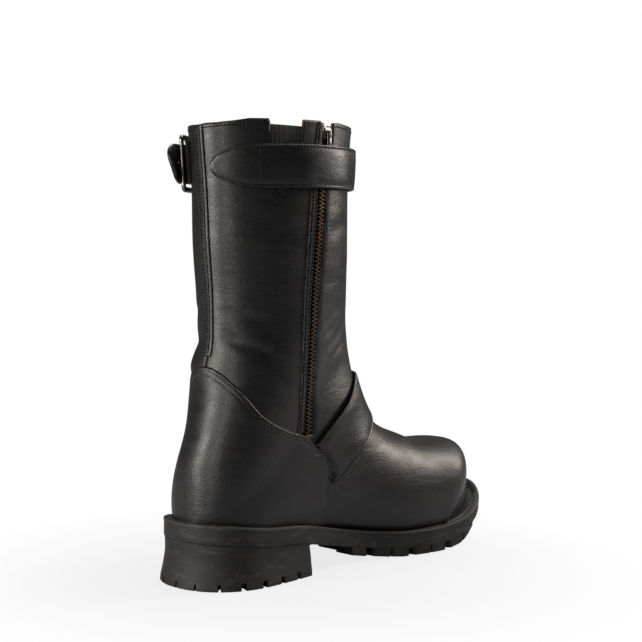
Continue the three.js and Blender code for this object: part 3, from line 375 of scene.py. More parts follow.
CREASES = [
    # from x, y, z, to x, y, z, half width, depth: troughs with a soft ridge on each side
    (14, 30, 176, 38, 56, 160, 5, 1.1),
    (38, 54, 160, 46, 82, 152, 4, 0.5),
    (12, 28, 194, 38, 52, 186, 4, 0.5),
    (-14, 29, 176, -40, 60, 160, 5, 1.0),
    (-12, 28, 196, -42, 66, 188, 5, 0.5),
    (30, 128, 190, 42, 104, 176, 6, 0.7),
    (22, 140, 172, 40, 112, 158, 6, 0.8),
    (33, 128, 222, 43, 100, 214, 6, 0.4),
    (34, 132, 262, 43, 105, 250, 7, 0.5),
    (-24, 138, 174, -41, 108, 160, 6, 0.8),
    (-28, 132, 196, -42, 100, 186, 6, 0.6),
    (-10, 150, 160, 16, 149, 163, 6, 0.6),
    (20, 42, 262, 42, 66, 246, 8, 0.4),
    (-28, 206, 88, 34, 200, 89, 9, 0.3),
]
SWELLS = [
    # x, y, z, reach across, reach up, height: broad hollows and swells, negative inwards
    (-27, 22, 108, 30, 30, -5.5),
    (-26, 30, 230, 30, 36, 2.2),
    (-26, 28, 154, 26, 10, 3.8),
    (14, 152, 204, 30, 34, 2.8),
    (22, 134, 152, 16, 16, -1.8),
    (4, 236, 98, 16, 14, 1.0),
    (4, 250, 90, 26, 30, -4.0),
    (2, 208, 98, 18, 24, 1.4),
    (24, 34, 156, 16, 12, 1.4),
]


def creased(points, normals):
    """How far leather stands off its form: each crease is a trough and two ridges (a hat
    curve across) that fades past its ends, and each swell is a bell. Distances run along
    the skin."""
    lift = np.zeros(len(points))
    for x0, y0, z0, x1, y1, z1, width, depth in CREASES:
        start = np.array([x0, y0, z0], float)
        chord = np.array([x1, y1, z1], float) - start
        length = np.linalg.norm(chord)
        t = (points - start) @ chord / length ** 2
        away = points - start - np.clip(t, 0, 1)[:, None] * chord
        depthwise = (away * normals).sum(1)
        across = np.sqrt(np.maximum((away ** 2).sum(1) - depthwise ** 2, 0)) / width
        fade = np.exp(-(depthwise / (2.5 * width)) ** 2)
        fade *= np.clip(1.15 - (2 * np.clip(t, 0, 1) - 1) ** 4, 0, 1)
        lift -= depth * fade * (1 - across ** 2) * np.exp(-across ** 2 / 1.6)
    for x, y, z, across, upwards, height in SWELLS:
        away = (points - [x, y, z]) / [across, across, upwards]
        lift += height * np.exp(-(away ** 2).sum(1))
    ripple = 0.35 * np.sin(points[:, 2] / 17 + points[:, 1] / 31 + 1.3)
    ripple *= np.sin(points[:, 2] / 41 - points[:, 1] / 23 + np.sign(points[:, 0]) * 0.7)
    return lift + ripple * np.clip((points[:, 2] - 110) / 60, 0, 1)


def even_rows(step):
    """Rows of the form about one step apart where they spread widest."""
    rows = np.linspace(0, LAST, 1200)
    path = form(rows[:, None], np.linspace(-1, 1, 9)[None, :])
    spread = np.linalg.norm(np.diff(path, axis=0), axis=-1).max(1)
    length = np.concatenate([[0], np.cumsum(spread)])
    return np.interp(np.linspace(0, length[-1], int(length[-1] / step) + 1), length, rows)


def even_columns(count):
    """Places round the foot, closer where the form's rows run faster past them."""
    fine = np.linspace(-1, 1, 2001)
    points = form(np.linspace(0, LAST, 60)[:, None], fine)
    steps = np.linalg.norm(np.diff(points, axis=1), axis=2).max(0)
    run = np.concatenate([[0], np.cumsum(steps)])
    return np.interp(np.linspace(0, run[-1], count), run, fine)


def grid_faces(rows, columns):
    """Two triangles a cell over a grid, with the corners numbered row by row."""
    k = (np.arange(rows - 1)[:, None] * columns + np.arange(columns - 1)).ravel()
    return np.concatenate([
        np.stack([k, k + columns + 1, k + columns], 1), np.stack([k, k + 1, k + columns + 1], 1)])


def trimmed(points, faces, field, snap):
    """The part of a triangle mesh where the field is positive. A crossed edge gets a new
    point at its zero by a straight share of its ends; near ones count as on the line."""
    field = np.where(np.abs(field) < snap, 0, field)
    inside = field >= 0
    count = inside[faces].sum(1)
    whole = faces[(count == 3) & (field[faces].max(1) > 0)]
    crossed = []
    for inner, first in ((1, inside), (2, ~inside)):
        some = faces[(count == inner) & (field[faces].max(1) > 0)]
        start = np.argmax(first[some], axis=1)
        crossed.append(np.take_along_axis(some, (start[:, None] + np.arange(3)) % 3, axis=1))
    ends = np.concatenate([f[:, pair] for f in crossed for pair in ([0, 1], [0, 2])])
    pairs, place = np.unique(np.sort(ends, axis=1), axis=0, return_inverse=True)
    share = field[pairs[:, 0]] / (field[pairs[:, 0]] - field[pairs[:, 1]])
    made = points[pairs[:, 0]] + share[:, None] * (points[pairs[:, 1]] - points[pairs[:, 0]])
    place = place.ravel() + len(points)
    one, two = len(crossed[0]), len(crossed[1])
    ab1, ac1, ab2, ac2 = np.split(place, [one, 2 * one, 2 * one + two])
    kept = [
        whole,
        np.stack([crossed[0][:, 0], ab1, ac1], 1),
        np.stack([ab2, crossed[1][:, 1], crossed[1][:, 2]], 1),
        np.stack([ab2, crossed[1][:, 2], ac2], 1),
    ]
    faces = np.concatenate(kept)
    used, faces = np.unique(faces, return_inverse=True)
    return np.concatenate([points, made])[used], faces.reshape(-1, 3)


def side_field(points, outline, sides):
    """Signed distance in the side view to a closed outline of (y, z), positive inside it;
    sides is 1 for the medial side alone and 0 for both."""
    place = points[:, 1:3]
    start = np.asarray(outline, float)
    chord = np.roll(start, -1, axis=0) - start
    nearest = np.full(len(place), 1e9)
    odd = np.zeros(len(place), bool)
    for a, d in zip(start, chord):
        t = np.clip(((place - a) @ d) / (d @ d + 1e-12), 0, 1)
        nearest = np.minimum(nearest, np.linalg.norm(place - a - t[:, None] * d, axis=1))
        spans = (a[1] > place[:, 1]) != (a[1] + d[1] > place[:, 1])
        rise = d[1] if d[1] else 1e-12
        odd ^= spans & (place[:, 0] < a[0] + (place[:, 1] - a[1]) * d[0] / rise)
    field = np.where(odd, nearest, -nearest)
    return np.where((points[:, 0] > 0) | (sides == 0), field, -np.abs(field) - 1)


def smooth_line(points, count):
    """A smooth open line through given points: a table read along its chord length."""
    points = np.asarray(points, float)
    chord = np.linalg.norm(np.diff(points, axis=0), axis=1)
    places = np.concatenate([[0], np.cumsum(chord)])
    table = np.column_stack([places, points])
    return reading(table, np.linspace(0, places[-1], count))


ZIP_LINE = [
    # height, place
    (0.3, 0.29),
    (0.5, 0.294),
    (0.72, 0.304),
    (0.87, 0.314),
    (1, 0.329),
]
ZIP_GAP = 9.0
ZIP_MOUTH = 13.0
TURNED_OVER = 3.5  # the slit's leather edge rolls in over this width
TURNED_IN = 1.3
ZIP_BOTTOM = 0.306 * BOOT_HEIGHT
SLIDER_HEIGHT = 9.0
SLIDER_MIDDLE = BOOT_HEIGHT - SLIDER_HEIGHT / 2 - 1
GORE_V = np.array([
    # place, height
    (0.162, 1.05),
    (0.165, 0.94),
    (0.173, 0.88),
    (0.191, 0.838),
    (0.203, 0.836),
    (0.23, 0.88),
    (0.242, 0.94),
    (0.254, 1.05),
]) * [SOLE_LENGTH, BOOT_HEIGHT]
COLLAR_EDGE = [
    # place round the leg, height
    (-1, 325.6),
    (-0.6, 328.2),
    (-0.2, 331.2),
    (0.2, 331.8),
    (0.38, 331.6),
    (0.455, 330.4),
    (0.5, 331.2),
    (0.56, 330.8),
    (0.62, 329.4),
    (0.665, 329),
    (0.69, 330.2),
    (0.84, 327.0),
    (1, 325.6),
]


def smoothstep(x, low, high):
    """0 below low and 1 above high, with a soft start and end between them."""
    t = np.clip((x - low) / (high - low), 0, 1)
    return t * t * (3 - 2 * t)


def zip_place(z):
    """How far forward the zip lies at a height."""
    return reading(ZIP_LINE, z / BOOT_HEIGHT)[..., 0] * SOLE_LENGTH


def zip_outline(width, low, high):
    """The side view of a band that follows the zip."""
    z = np.linspace(low, high, 24)
    y = zip_place(z)
    return np.concatenate([
        np.column_stack([y + width / 2, z]), np.column_stack([y - width / 2, z])[::-1]])


def skin(step, columns, field):
    """Rows and places, and faces, of a leather sheet on the form: a fine grid trimmed where
    the field of its points and their rows and places is negative."""
    rows = even_rows(step)
    sheet = np.stack(np.meshgrid(rows, even_columns(columns), indexing="ij"), -1)
    sheet = sheet.reshape(-1, 2)
    value = field(form(sheet[:, 0], sheet[:, 1]), sheet)
    return trimmed(sheet, grid_faces(len(rows), columns), value, 0.12 * step)


def on_form(sheet, lift):
    """Points over the creased form at rows and places, raised along its outward direction."""
    points = form(sheet[:, 0], sheet[:, 1])
    normals = outward(sheet[:, 0], sheet[:, 1])
    return points + normals * (creased(points, normals) + lift)[:, None]


def to_frame(points):
    """Foot millimetres to the frame's metres."""
    return (np.asarray(points, float) - [0, HEEL_REST, 0]) / 1000


def new_piece(name, points, faces, material, body, *replaced, slot=None, sharp=45):
    """A mesh object at the origin from foot millimetres, merged and turned outwards, with
    creases sharper than some degrees kept, that rides on a body and stands for CAD nodes."""
    mesh = bpy.data.meshes.new(name)
    mesh.from_pydata(to_frame(points).tolist(), [], [tuple(int(k) for k in f) for f in faces])
    made = bmesh.new()
    made.from_mesh(mesh)
    bmesh.ops.remove_doubles(made, verts=made.verts, dist=4e-5)
    bmesh.ops.dissolve_degenerate(made, edges=made.edges, dist=1e-6)
    bmesh.ops.recalc_face_normals(made, faces=made.faces)
    made.to_mesh(mesh)
    made.free()
    mesh.polygons.foreach_set("use_smooth", [True] * len(mesh.polygons))
    mesh.set_sharp_from_angle(angle=np.radians(sharp))
    mesh.materials.append(material)
    piece = bpy.data.objects.new(name, mesh)
    bpy.context.scene.collection.objects.link(piece)
    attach(piece, body)
    if replaced:
        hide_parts(*replaced)
    return piece


def thickened(piece, thickness, inner=None, rim=None):
    """Gives an outer skin its wall, inwards, with its own materials inside and on the rim."""
    for material in (inner, rim):
        if material:
            piece.data.materials.append(material)
    wall = piece.modifiers.new("wall", "SOLIDIFY")
    wall.thickness = thickness / 1000
    wall.offset = -1
    wall.use_even_offset = False
    wall.material_offset = 1 if inner else 0
    wall.material_offset_rim = 2 if rim else 0


def leather_material(name, dark, worn, roughness, grain_mm, seed):
    """Oiled, smooth-grain cowhide: small pebbled cells, fine wrinkles between them, and a
    lighter brown where the oil has pulled away. The eye sees a soft satin gloss."""
    material, tree = new_material(name)
    place = node(tree, "TexCoord").outputs["Object"]
    moved = node(tree, "Mapping", links={"Vector": place, "Location": (seed, 0, 0)}).outputs[0]
    flat = node(tree, "Mapping", links={"Vector": moved, "Scale": (1.0, 1.0, 3.2)}).outputs[0]
    cells = node(tree, "TexVoronoi", {"feature": "SMOOTH_F1"}, {
        "Vector": moved, "Scale": 1000 / grain_mm, "Smoothness": 0.6, "Randomness": 1.0})
    pores = node(tree, "TexNoise", links={
        "Vector": moved, "Scale": 1000 / (0.45 * grain_mm), "Detail": 3.0, "Roughness": 0.6})
    clouds = node(tree, "TexNoise", links={
        "Vector": moved, "Scale": 1000 / 42, "Detail": 4.0, "Roughness": 0.55, "Distortion": 0.4})
    streaks = node(tree, "TexNoise", links={
        "Vector": flat, "Scale": 1000 / 30, "Detail": 5.0, "Roughness": 0.6})
    pull = node(tree, "MapRange", links={
        "Value": clouds.outputs["Fac"], "From Min": 0.45, "From Max": 0.78})
    colour = node(tree, "Mix", {"data_type": "RGBA"}, {
        "Factor": pull.outputs["Result"], 6: linear(dark), 7: linear(worn)})
    gloss = node(tree, "MapRange", links={
        "Value": streaks.outputs["Fac"], "From Min": 0.3, "From Max": 0.7,
        "To Min": roughness - 0.07, "To Max": roughness + 0.09})
    fine = node(tree, "Math", {"operation": "MULTIPLY_ADD"}, {
        0: pores.outputs["Fac"], 1: 0.35, 2: cells.outputs["Distance"]})
    soft = node(tree, "Bump", links={
        "Height": streaks.outputs["Fac"], "Strength": 0.35, "Distance": 0.0016})
    grain = node(tree, "Bump", links={
        "Height": fine.outputs[0], "Strength": 0.22, "Distance": 0.0004,
        "Normal": soft.outputs["Normal"]})
    surface(tree, node(tree, "BsdfPrincipled", links={
        "Base Color": colour.outputs[2], "Roughness": gloss.outputs["Result"],
        "Normal": grain.outputs["Normal"], "Specular IOR Level": 0.42,
        "Coat Weight": 0.1, "Coat Roughness": 0.35, "Coat IOR": 1.45}))
    return material


boot_leather = leather_material("oiled black cowhide", "#0f0f0f", "#181613", 0.4, 1.5, 0.0)
lining = leather_material("glove leather lining", "#4a3b2e", "#5c4a3a", 0.75, 1.8, 0.3)
raw_edge = leather_material("raw cut leather edge", "#3a2a20", "#5a4232", 0.85, 1.0, 0.6)

slit = zip_outline(ZIP_GAP, ZIP_BOTTOM, BOOT_HEIGHT + 20)
mouth = zip_outline(ZIP_MOUTH, SLIDER_MIDDLE - SLIDER_HEIGHT, BOOT_HEIGHT + 20)


def upper_field(points, sheet):
    """Leather under the collar's edge and outside the zip's slit and mouth and the V."""
    return np.minimum.reduce([
        -side_field(points, slit, 1),
        -side_field(points, mouth, 1),
        -side_field(points, GORE_V, 1),
        reading(COLLAR_EDGE, sheet[:, 1])[:, 0] - points[:, 2],
    ])


sheet, faces = skin(2.3, 129, upper_field)
beside_slit = -side_field(form(sheet[:, 0], sheet[:, 1]), slit, 1)
points = on_form(sheet, TURNED_IN * (smoothstep(beside_slit, 0, TURNED_OVER) - 1))
upper = new_piece("upper_leather", points, faces, boot_leather, "boot", "upper",
                  slot="boot_leather")
thickened(upper, LEATHER, lining, raw_edge)


# Counter cover, back strip and zip facing. Second layers of the same leather, skived and
# sewn over the shaft: their edges rise out of the skin as a rounded cut.
COUNTER_THICKNESS = 1.7
STRIP_THICKNESS = 1.1
STRIP_WIDTH = 9.0
STRIP_FOOT = 0.491 * BOOT_HEIGHT
STRIP_FRONT = 0.17 * SOLE_LENGTH
WELT_THICKNESS = 3.0
TUCKED_DOWN = 9.0  # how far the cover runs down behind the welt
RIM_STEP = 0.6  # how far the second layers end below the collar's edge
COUNTER_EDGE = np.array([
    # place, height
    (-0.1, 0.489),
    (0.073, 0.489),
    (0.083, 0.468),
    (0.108, 0.421),
    (0.146, 0.366),
    (0.215, 0.331),
    (0.281, 0.313),
    (0.312, 0.289),
    (0.359, 0.256),
    (0.368, 0.225),
    (0.362, 0.185),
    (0.36, -0.1),
    (-0.1, -0.1),
]) * [SOLE_LENGTH, BOOT_HEIGHT]


def ringed(sheet, faces, value, depths):
    """The same sheet with its faces cut along lines at some depths in from its border."""
    for depth in depths:
        inner, inner_faces = trimmed(sheet, faces, value(sheet) - depth, 0.1)
        outer, outer_faces = trimmed(sheet, faces, depth - value(sheet), 0.1)
        faces = np.concatenate([inner_faces, outer_faces + len(inner)])
        sheet = np.concatenate([inner, outer])
    return sheet, faces


def overlay(name, step, columns, field, thickness, profile, *replaced):
    """A layer on the skin where a field is positive. Its profile gives the height, as a share
    of the thickness, by the distance in from the border."""
    def value(sheet):
        return field(form(sheet[:, 0], sheet[:, 1]), sheet)

    sheet, faces = skin(step, columns, field)
    sheet, faces = ringed(sheet, faces, value, [depth for depth, _ in profile[1:]])
    depths, shares = np.transpose(profile)
    points = on_form(sheet, GAP + thickness * np.interp(value(sheet), depths, shares))
    return new_piece(name, points, faces, boot_leather, "boot", *replaced,
                     slot="boot_leather" if replaced else None)


PLAIN_EDGE = [(0, -0.3), (0.5, 0.75), (1.3, 1)]
ROW_DEPTHS = (1.8, 4.4)
SEWN_LOW = 0.82  # a sewn row draws the cover down to this share of its thickness
SEWN_EDGE = [(0, -0.3), (0.6, 0.85)]
for depth in ROW_DEPTHS:
    SEWN_EDGE += [(depth - 0.8, 1.0), (depth, SEWN_LOW), (depth + 0.8, 1.0)]
SEWN_EDGE.append((8.5, 1.0))
counter_outline = np.concatenate([smooth_line(COUNTER_EDGE[1:12], 120), COUNTER_EDGE[[12, 0]]])


def counter_field(points, sheet):
    above_welt = points[:, 2] - seat_height(points[:, 1]) - WELT_THICKNESS
    return np.minimum(side_field(points, counter_outline, 0), above_welt + TUCKED_DOWN)


def strip_field(points, sheet):
    return np.minimum.reduce([
        STRIP_WIDTH / 2 - np.abs(points[:, 0]),
        points[:, 2] - STRIP_FOOT,
        STRIP_FRONT - points[:, 1],
        reading(COLLAR_EDGE, sheet[:, 1])[:, 0] - RIM_STEP - points[:, 2],
    ])


FACING_NEAR = -4.6
FACING_FAR = -10.8
FACING_THICKNESS = 0.9


def facing_field(points, sheet):
    """A band of leather that follows the zip at its rear, up to the collar's edge."""
    z = points[:, 2]
    from_zip = points[:, 1] - zip_place(z)
    return np.minimum.reduce([
        FACING_NEAR - from_zip,
        from_zip - FACING_FAR,
        z - ZIP_BOTTOM - 5,
        reading(COLLAR_EDGE, sheet[:, 1])[:, 0] - RIM_STEP - z,
        points[:, 0],
    ])


overlay("zip_facing", 2.2, 241, facing_field, FACING_THICKNESS, PLAIN_EDGE)
overlay("counter_cover", 2.2, 161, counter_field, COUNTER_THICKNESS, SEWN_EDGE, "counter")
overlay("back_seam_strip", 2.2, 241, strip_field, STRIP_THICKNESS, PLAIN_EDGE, "back_strip")


# Seams. Waxed black thread in rows of short stitches, each a pebble laid along its line.
def on_skin(places, side=1, seen=(1, 2), rows=(0, LAST), past=0.0):
    """The rows and places of the form that show at two coordinates, found by Newton steps
    from the nearest point of a coarse grid on one side."""
    places = np.atleast_2d(np.asarray(places, float))
    grid = np.stack(np.meshgrid(
        np.linspace(*rows, 90), side * np.linspace(past, 1, 50), indexing="ij"), -1)
    grid = grid.reshape(-1, 2)
    seen = list(seen)
    coarse = form(grid[:, 0], grid[:, 1])[:, seen]
    found = grid[((places[:, None] - coarse) ** 2).sum(-1).argmin(1)]
    step = 1e-3
    for _ in range(8):
        here = form(found[:, 0], found[:, 1])[:, seen]
        by_row = (form(found[:, 0] + step, found[:, 1])[:, seen] - here) / step
        by_turn = (form(found[:, 0], found[:, 1] - side * step)[:, seen] - here) / (-side * step)
        miss = places - here
        area = by_row[:, 0] * by_turn[:, 1] - by_row[:, 1] * by_turn[:, 0]
        area = np.where(np.abs(area) < 1e-3, 1e-3, area)
        move = np.stack([
            miss[:, 0] * by_turn[:, 1] - miss[:, 1] * by_turn[:, 0],
            by_row[:, 0] * miss[:, 1] - by_row[:, 1] * miss[:, 0]], 1) / area[:, None]
        found = found + np.clip(move, (-0.5, -0.04), (0.5, 0.04))
        found[:, 0] = np.clip(found[:, 0], *rows)
        found[:, 1] = side * np.clip(side * found[:, 1], past, 1)
    return found


def bent(values, power):
    """Sines and cosines of a superellipse: squarer below power 1."""
    return np.sign(values) * np.abs(np.round(values, 9)) ** power


def pebble(long, wide, tall, power, around=8, levels=5):
    """A closed superellipsoid: an ellipsoid at power 1, nearly a box at 0.25."""
    turn = np.linspace(0, 2 * np.pi, around, endpoint=False)
    rise = np.linspace(-np.pi / 2, np.pi / 2, levels + 1)[:, None]
    x = bent(np.cos(rise), power) * bent(np.cos(turn), power)
    y = bent(np.cos(rise), power) * bent(np.sin(turn), power)
    z = bent(np.sin(rise), power) + 0 * turn
    points = np.stack([long * x, wide * y, tall * z], -1).reshape(-1, 3)
    k = (np.arange(levels)[:, None] * around + np.arange(around)).ravel()
    over = (np.arange(levels)[:, None] * around + (np.arange(around) + 1) % around).ravel()
    return points, np.stack([k, over, over + around, k + around], 1)


def copies(shape, places, axes):
    """Copies of a small shape, each at its place and turned by its three axes."""
    points, faces = shape
    laid = places[:, None] + np.einsum("vk,nkc->nvc", points, axes)
    numbers = faces[None] + np.arange(len(places))[:, None, None] * len(points)
    return laid.reshape(-1, 3), numbers.reshape(-1, faces.shape[1])


def joined(parts):
    """Several point and face arrays as one."""
    counts = np.cumsum([0] + [len(points) for points, _ in parts])
    faces = [f + n for (_, f), n in zip(parts, counts)]
    return np.concatenate([points for points, _ in parts]), np.concatenate(faces)


def laid(points, normals, pitch, start):
    """Places and axes (along, across, outward) at an even pitch on a line of points."""
    length = np.concatenate([[0], np.cumsum(np.linalg.norm(np.diff(points, axis=0), axis=1))])
    at = np.arange(start, length[-1], pitch)

    def read(values, where):
        return np.stack([np.interp(where, length, values[:, k]) for k in range(3)], 1)

    along = unit(read(points, at + 0.3) - read(points, at - 0.3))
    side = unit(np.cross(read(normals, at), along))
    return read(points, at), np.stack([along, side, np.cross(along, side)], 1)


def laid_line(line, lift, pitch, first=0.5):
    """Places and axes at an even pitch along a line of rows and places, raised by a lift,
    the first of them at a share of the pitch."""
    line = np.asarray(line, float)
    return laid(on_form(line, lift), outward(line[:, 0], line[:, 1]), pitch, first * pitch)


STITCH_PITCH = 2.8
THREAD = 0.4
STITCH = pebble(0.4 * STITCH_PITCH, THREAD, THREAD, 0.8, 6, 4)
# Painted shade of a needle hole: a flat near-black disc on the leather
NEEDLE_HOLE_SHADE = pebble(0.62, 0.62, 0.16, 1.0, 6, 4)


def inset_line(corners, inset):
    """A smooth copy of a side-view line, moved across itself."""
    line = smooth_line(corners, 160)
    ahead = unit(np.gradient(line, axis=0))
    return line + inset * np.stack([-ahead[:, 1], ahead[:, 0]], 1)


# Waxed thread, dark and a little glossy
thread_material, tree = new_material("waxed black thread")
surface(tree, node(tree, "BsdfPrincipled", links={
    "Base Color": linear("#141413"), "Roughness": 0.5, "Specular IOR Level": 0.4}))

# Needle holes: near-black matt discs laid between the stitches, painted shade that stands for the
# shade inside each hole
hole_shade_material, tree = new_material("painted shade in needle holes")
surface(tree, node(tree, "BsdfPrincipled", links={
    "Base Color": linear("#040404"), "Roughness": 1.0, "Specular IOR Level": 0.05}))

RIM_ROW = 2.8  # the collar's row runs this far below its edge
RIM_RUNS = [(-0.985, 0.455), (0.705, 0.985)]  # round the leg, not over gore and zip
seam_rows = []
counter_top = COUNTER_EDGE[1:10]
for inset in ROW_DEPTHS:
    for side in (1, -1):
        line = inset_line(counter_top, -inset)
        line = line[line[:, 0] > 24.5]
        seam_rows.append((on_skin(line, side), GAP + 0.82 * COUNTER_THICKNESS))
for x in (-1.75, 1.75):
    z = np.linspace(STRIP_FOOT + 3, BOOT_HEIGHT - 4, 90)
    line = on_skin(np.stack([0 * z + x, z], 1), np.sign(x), (0, 2), (9, LAST), 0.8)
    seam_rows.append((line, GAP + STRIP_THICKNESS + 0.1))
for away in (FACING_NEAR - 1.4, FACING_FAR + 1.5):
    z = np.linspace(ZIP_BOTTOM + 8, 324, 90)
    line = on_skin(np.stack([zip_place(z) + away, z], 1))
    seam_rows.append((line, GAP + FACING_THICKNESS + 0.05))


def row_at(s, z):
    """The row of the leg where the face is at a height, found by halving."""
    s, z = np.broadcast_arrays(np.asarray(s, float), np.asarray(z, float))
    low = np.full(s.shape, 9.0)
    high = np.full(s.shape, float(LAST))
    for _ in range(24):
        middle = (low + high) / 2
        under = form(middle, s)[..., 2] < z
        low = np.where(under, middle, low)
        high = np.where(under, high, middle)
    return (low + high) / 2


for first, last in RIM_RUNS:
    s = np.linspace(first, last, 200)
    height = reading(COLLAR_EDGE, s)[:, 0] - RIM_ROW
    seam_rows.append((np.stack([row_at(s, height), s], 1), 0.1))
points, faces = joined([
    copies(STITCH, *laid_line(line, lift, STITCH_PITCH)) for line, lift in seam_rows])
new_piece("seam_stitches", points, faces, thread_material, "boot", sharp=80)
# Painted shade at the needle holes: a near-black disc between each pair of stitches
points, faces = joined([
    copies(NEEDLE_HOLE_SHADE, *laid_line(line, lift, STITCH_PITCH, 0.0)) for line, lift in seam_rows])
new_piece("seam_needle_hole_shade", points, faces, hole_shade_material, "boot", sharp=80)


# Gore. A V of ribbed elastic webbing let into the collar behind the zip, sewn round with a
# double row, in an opening cut in the leather.
GORE_SUNK = 1.5
GORE_TOP = 325.7
GORE_THICKNESS = 1.4
GORE_PITCH = 2.6
UNDER_EDGE = 2.5  # the webbing runs on this far behind the leather


def gore_field(points, sheet):
    return np.minimum(side_field(points, GORE_V, 1) + UNDER_EDGE, GORE_TOP - points[:, 2])


# Elastic webbing: green-black rubber cords bound in cotton, matt, in upright ribs, with painted
# shade in the grooves and a painted lighter tone on the crests
elastic, tree = new_material("ribbed elastic webbing")
place = node(tree, "TexCoord").outputs["Object"]
ribs = node(tree, "TexWave", {"wave_type": "BANDS", "bands_direction": "Y"}, {
    "Vector": place, "Scale": 1000 / 1.7 / 6.283 * 2, "Distortion": 0.6, "Detail": 1.0})
weave = node(tree, "TexNoise", links={"Vector": place, "Scale": 1000 / 0.8, "Detail": 2.0})
# Painted shade and light: the wave that raises the ribs also darkens the grooves and lightens the
# crests
tint = node(tree, "Mix", {"data_type": "RGBA"}, {
    "Factor": ribs.outputs["Fac"], 6: linear("#0e0f0d"), 7: linear("#2c302a")})
ridge = node(tree, "Bump", links={
    "Height": ribs.outputs["Fac"], "Strength": 0.9, "Distance": 0.0007})
fuzz = node(tree, "Bump", links={
    "Height": weave.outputs["Fac"], "Strength": 0.4, "Distance": 0.0003,
    "Normal": ridge.outputs["Normal"]})
surface(tree, node(tree, "BsdfPrincipled", links={
    "Base Color": tint.outputs[2], "Roughness": 0.85, "Normal": fuzz.outputs["Normal"],
    "Sheen Weight": 0.2, "Sheen Roughness": 0.5}))

sheet, faces = skin(2.0, 161, gore_field)
gore = new_piece("elastic_gore", on_form(sheet, -GORE_SUNK), faces, elastic, "boot", "gore",
                 slot="gore_elastic")
thickened(gore, GORE_THICKNESS)

gore_stitch = pebble(0.4 * GORE_PITCH, THREAD, THREAD, 0.8, 6, 4)
gore_seams = []
for inset in (1.7, 4.0):
    line = inset_line(GORE_V[::-1], -inset)
    line = line[line[:, 1] < GORE_TOP - 2.7]
    gore_seams.append(copies(gore_stitch, *laid_line(on_skin(line), 0.12, GORE_PITCH)))
points, faces = joined(gore_seams)
new_piece("gore_stitches", points, faces, thread_material, "boot", sharp=80)


# Zip. Woven tape behind the slit, two rows of brass teeth clamped on its cords that mesh
# along the middle, a bottom stop, a slider and its nickel pull.
TAPE_WIDTH = 24.0
TAPE_SUNK = LEATHER + 0.4
TAPE_THICKNESS = 0.9
CHAIN_FOOT = ZIP_BOTTOM + 3.4
CHAIN_TOP = SLIDER_MIDDLE - SLIDER_HEIGHT / 2 - GAP
TOOTH_PITCH = 2.9

# Polyester tape in a fine herringbone, dull black
tape_cloth, tree = new_material("woven zip tape")
place = node(tree, "TexCoord").outputs["Object"]
weave = node(tree, "TexWave", {"wave_type": "BANDS", "bands_direction": "Z"}, {
    "Vector": place, "Scale": 1000 / 0.9 / 6.283 * 2, "Distortion": 3.0, "Detail": 2.0})
ridge = node(tree, "Bump", links={
    "Height": weave.outputs["Fac"], "Strength": 0.6, "Distance": 0.0003})
surface(tree, node(tree, "BsdfPrincipled", links={
    "Base Color": linear("#111110"), "Roughness": 0.95, "Normal": ridge.outputs["Normal"],
    "Specular IOR Level": 0.2}))

# Antique brass: warm brown metal, brighter where the slider has rubbed it
brass, tree = new_material("antique brass")
place = node(tree, "TexCoord").outputs["Object"]
wear = node(tree, "TexNoise", links={"Vector": place, "Scale": 1000 / 6, "Detail": 4.0})
tint = node(tree, "Mix", {"data_type": "RGBA"}, {
    "Factor": wear.outputs["Fac"], 6: linear("#2c231b"), 7: linear("#6e563f")})
surface(tree, node(tree, "BsdfPrincipled", links={
    "Base Color": tint.outputs[2], "Metallic": 1.0, "Roughness": 0.36}))

# Nickel plate: pale, close to a mirror, with fine handling scratches
nickel, tree = new_material("nickel plate")
place = node(tree, "TexCoord").outputs["Object"]
rubbed = node(tree, "TexNoise", links={
    "Vector": node(tree, "Mapping", links={
        "Vector": place, "Scale": (1.0, 1.0, 0.15)}).outputs[0],
    "Scale": 1000 / 2.5, "Detail": 6.0, "Roughness": 0.7})
gloss = node(tree, "MapRange", links={
    "Value": rubbed.outputs["Fac"], "From Min": 0.35, "From Max": 0.7,
    "To Min": 0.16, "To Max": 0.34})
surface(tree, node(tree, "BsdfPrincipled", links={
    "Base Color": linear("#7d7a75"), "Metallic": 1.0, "Roughness": gloss.outputs["Result"]}))

tape_shape = zip_outline(TAPE_WIDTH, ZIP_BOTTOM - 8, BOOT_HEIGHT - 4)
sheet, faces = skin(2.5, 161, lambda points, sheet: side_field(points, tape_shape, 1))
tape = new_piece("zip_tape_cloth", on_form(sheet, -TAPE_SUNK), faces, tape_cloth, "boot",
                 "zip_tape", slot="zip_tape_cloth")
thickened(tape, TAPE_THICKNESS)


def zip_line(low, high, aside=0.0):
    """Rows and places along the zip between two heights."""
    z = np.linspace(low, high, 160)
    return on_skin(np.stack([zip_place(z) + aside, z], 1))


tooth = pebble(0.72, 2.15, 1.0, 0.35, 8, 4)
points, faces = joined([
    copies(tooth, *laid_line(
        zip_line(CHAIN_FOOT + start, CHAIN_TOP, aside), -0.5, TOOTH_PITCH))
    for aside, start in ((-1.15, 0.0), (1.15, TOOTH_PITCH / 2))])
new_piece("zip_teeth", points, faces, brass, "boot", "zip_chain", slot="zip_brass", sharp=60)

cord_bead = pebble(2.2, 0.7, 0.7, 0.6, 6, 4)
points, faces = joined([
    copies(cord_bead, *laid_line(zip_line(CHAIN_FOOT, CHAIN_TOP, aside), -1.0, 4.0))
    for aside in (-3.5, 3.5)])
new_piece("zip_cords", points, faces, tape_cloth, "boot", sharp=80)

stop_place, stop_axes = laid_line(zip_line(ZIP_BOTTOM, ZIP_BOTTOM + 3.4), 0.0, 3.4)
points, faces = copies(pebble(1.4, 3.7, 1.1, 0.3, 16, 8), stop_place[:1], stop_axes[:1])
new_piece("zip_bottom_stop", points, faces, brass, "boot", "zip_stop", slot="zip_brass")

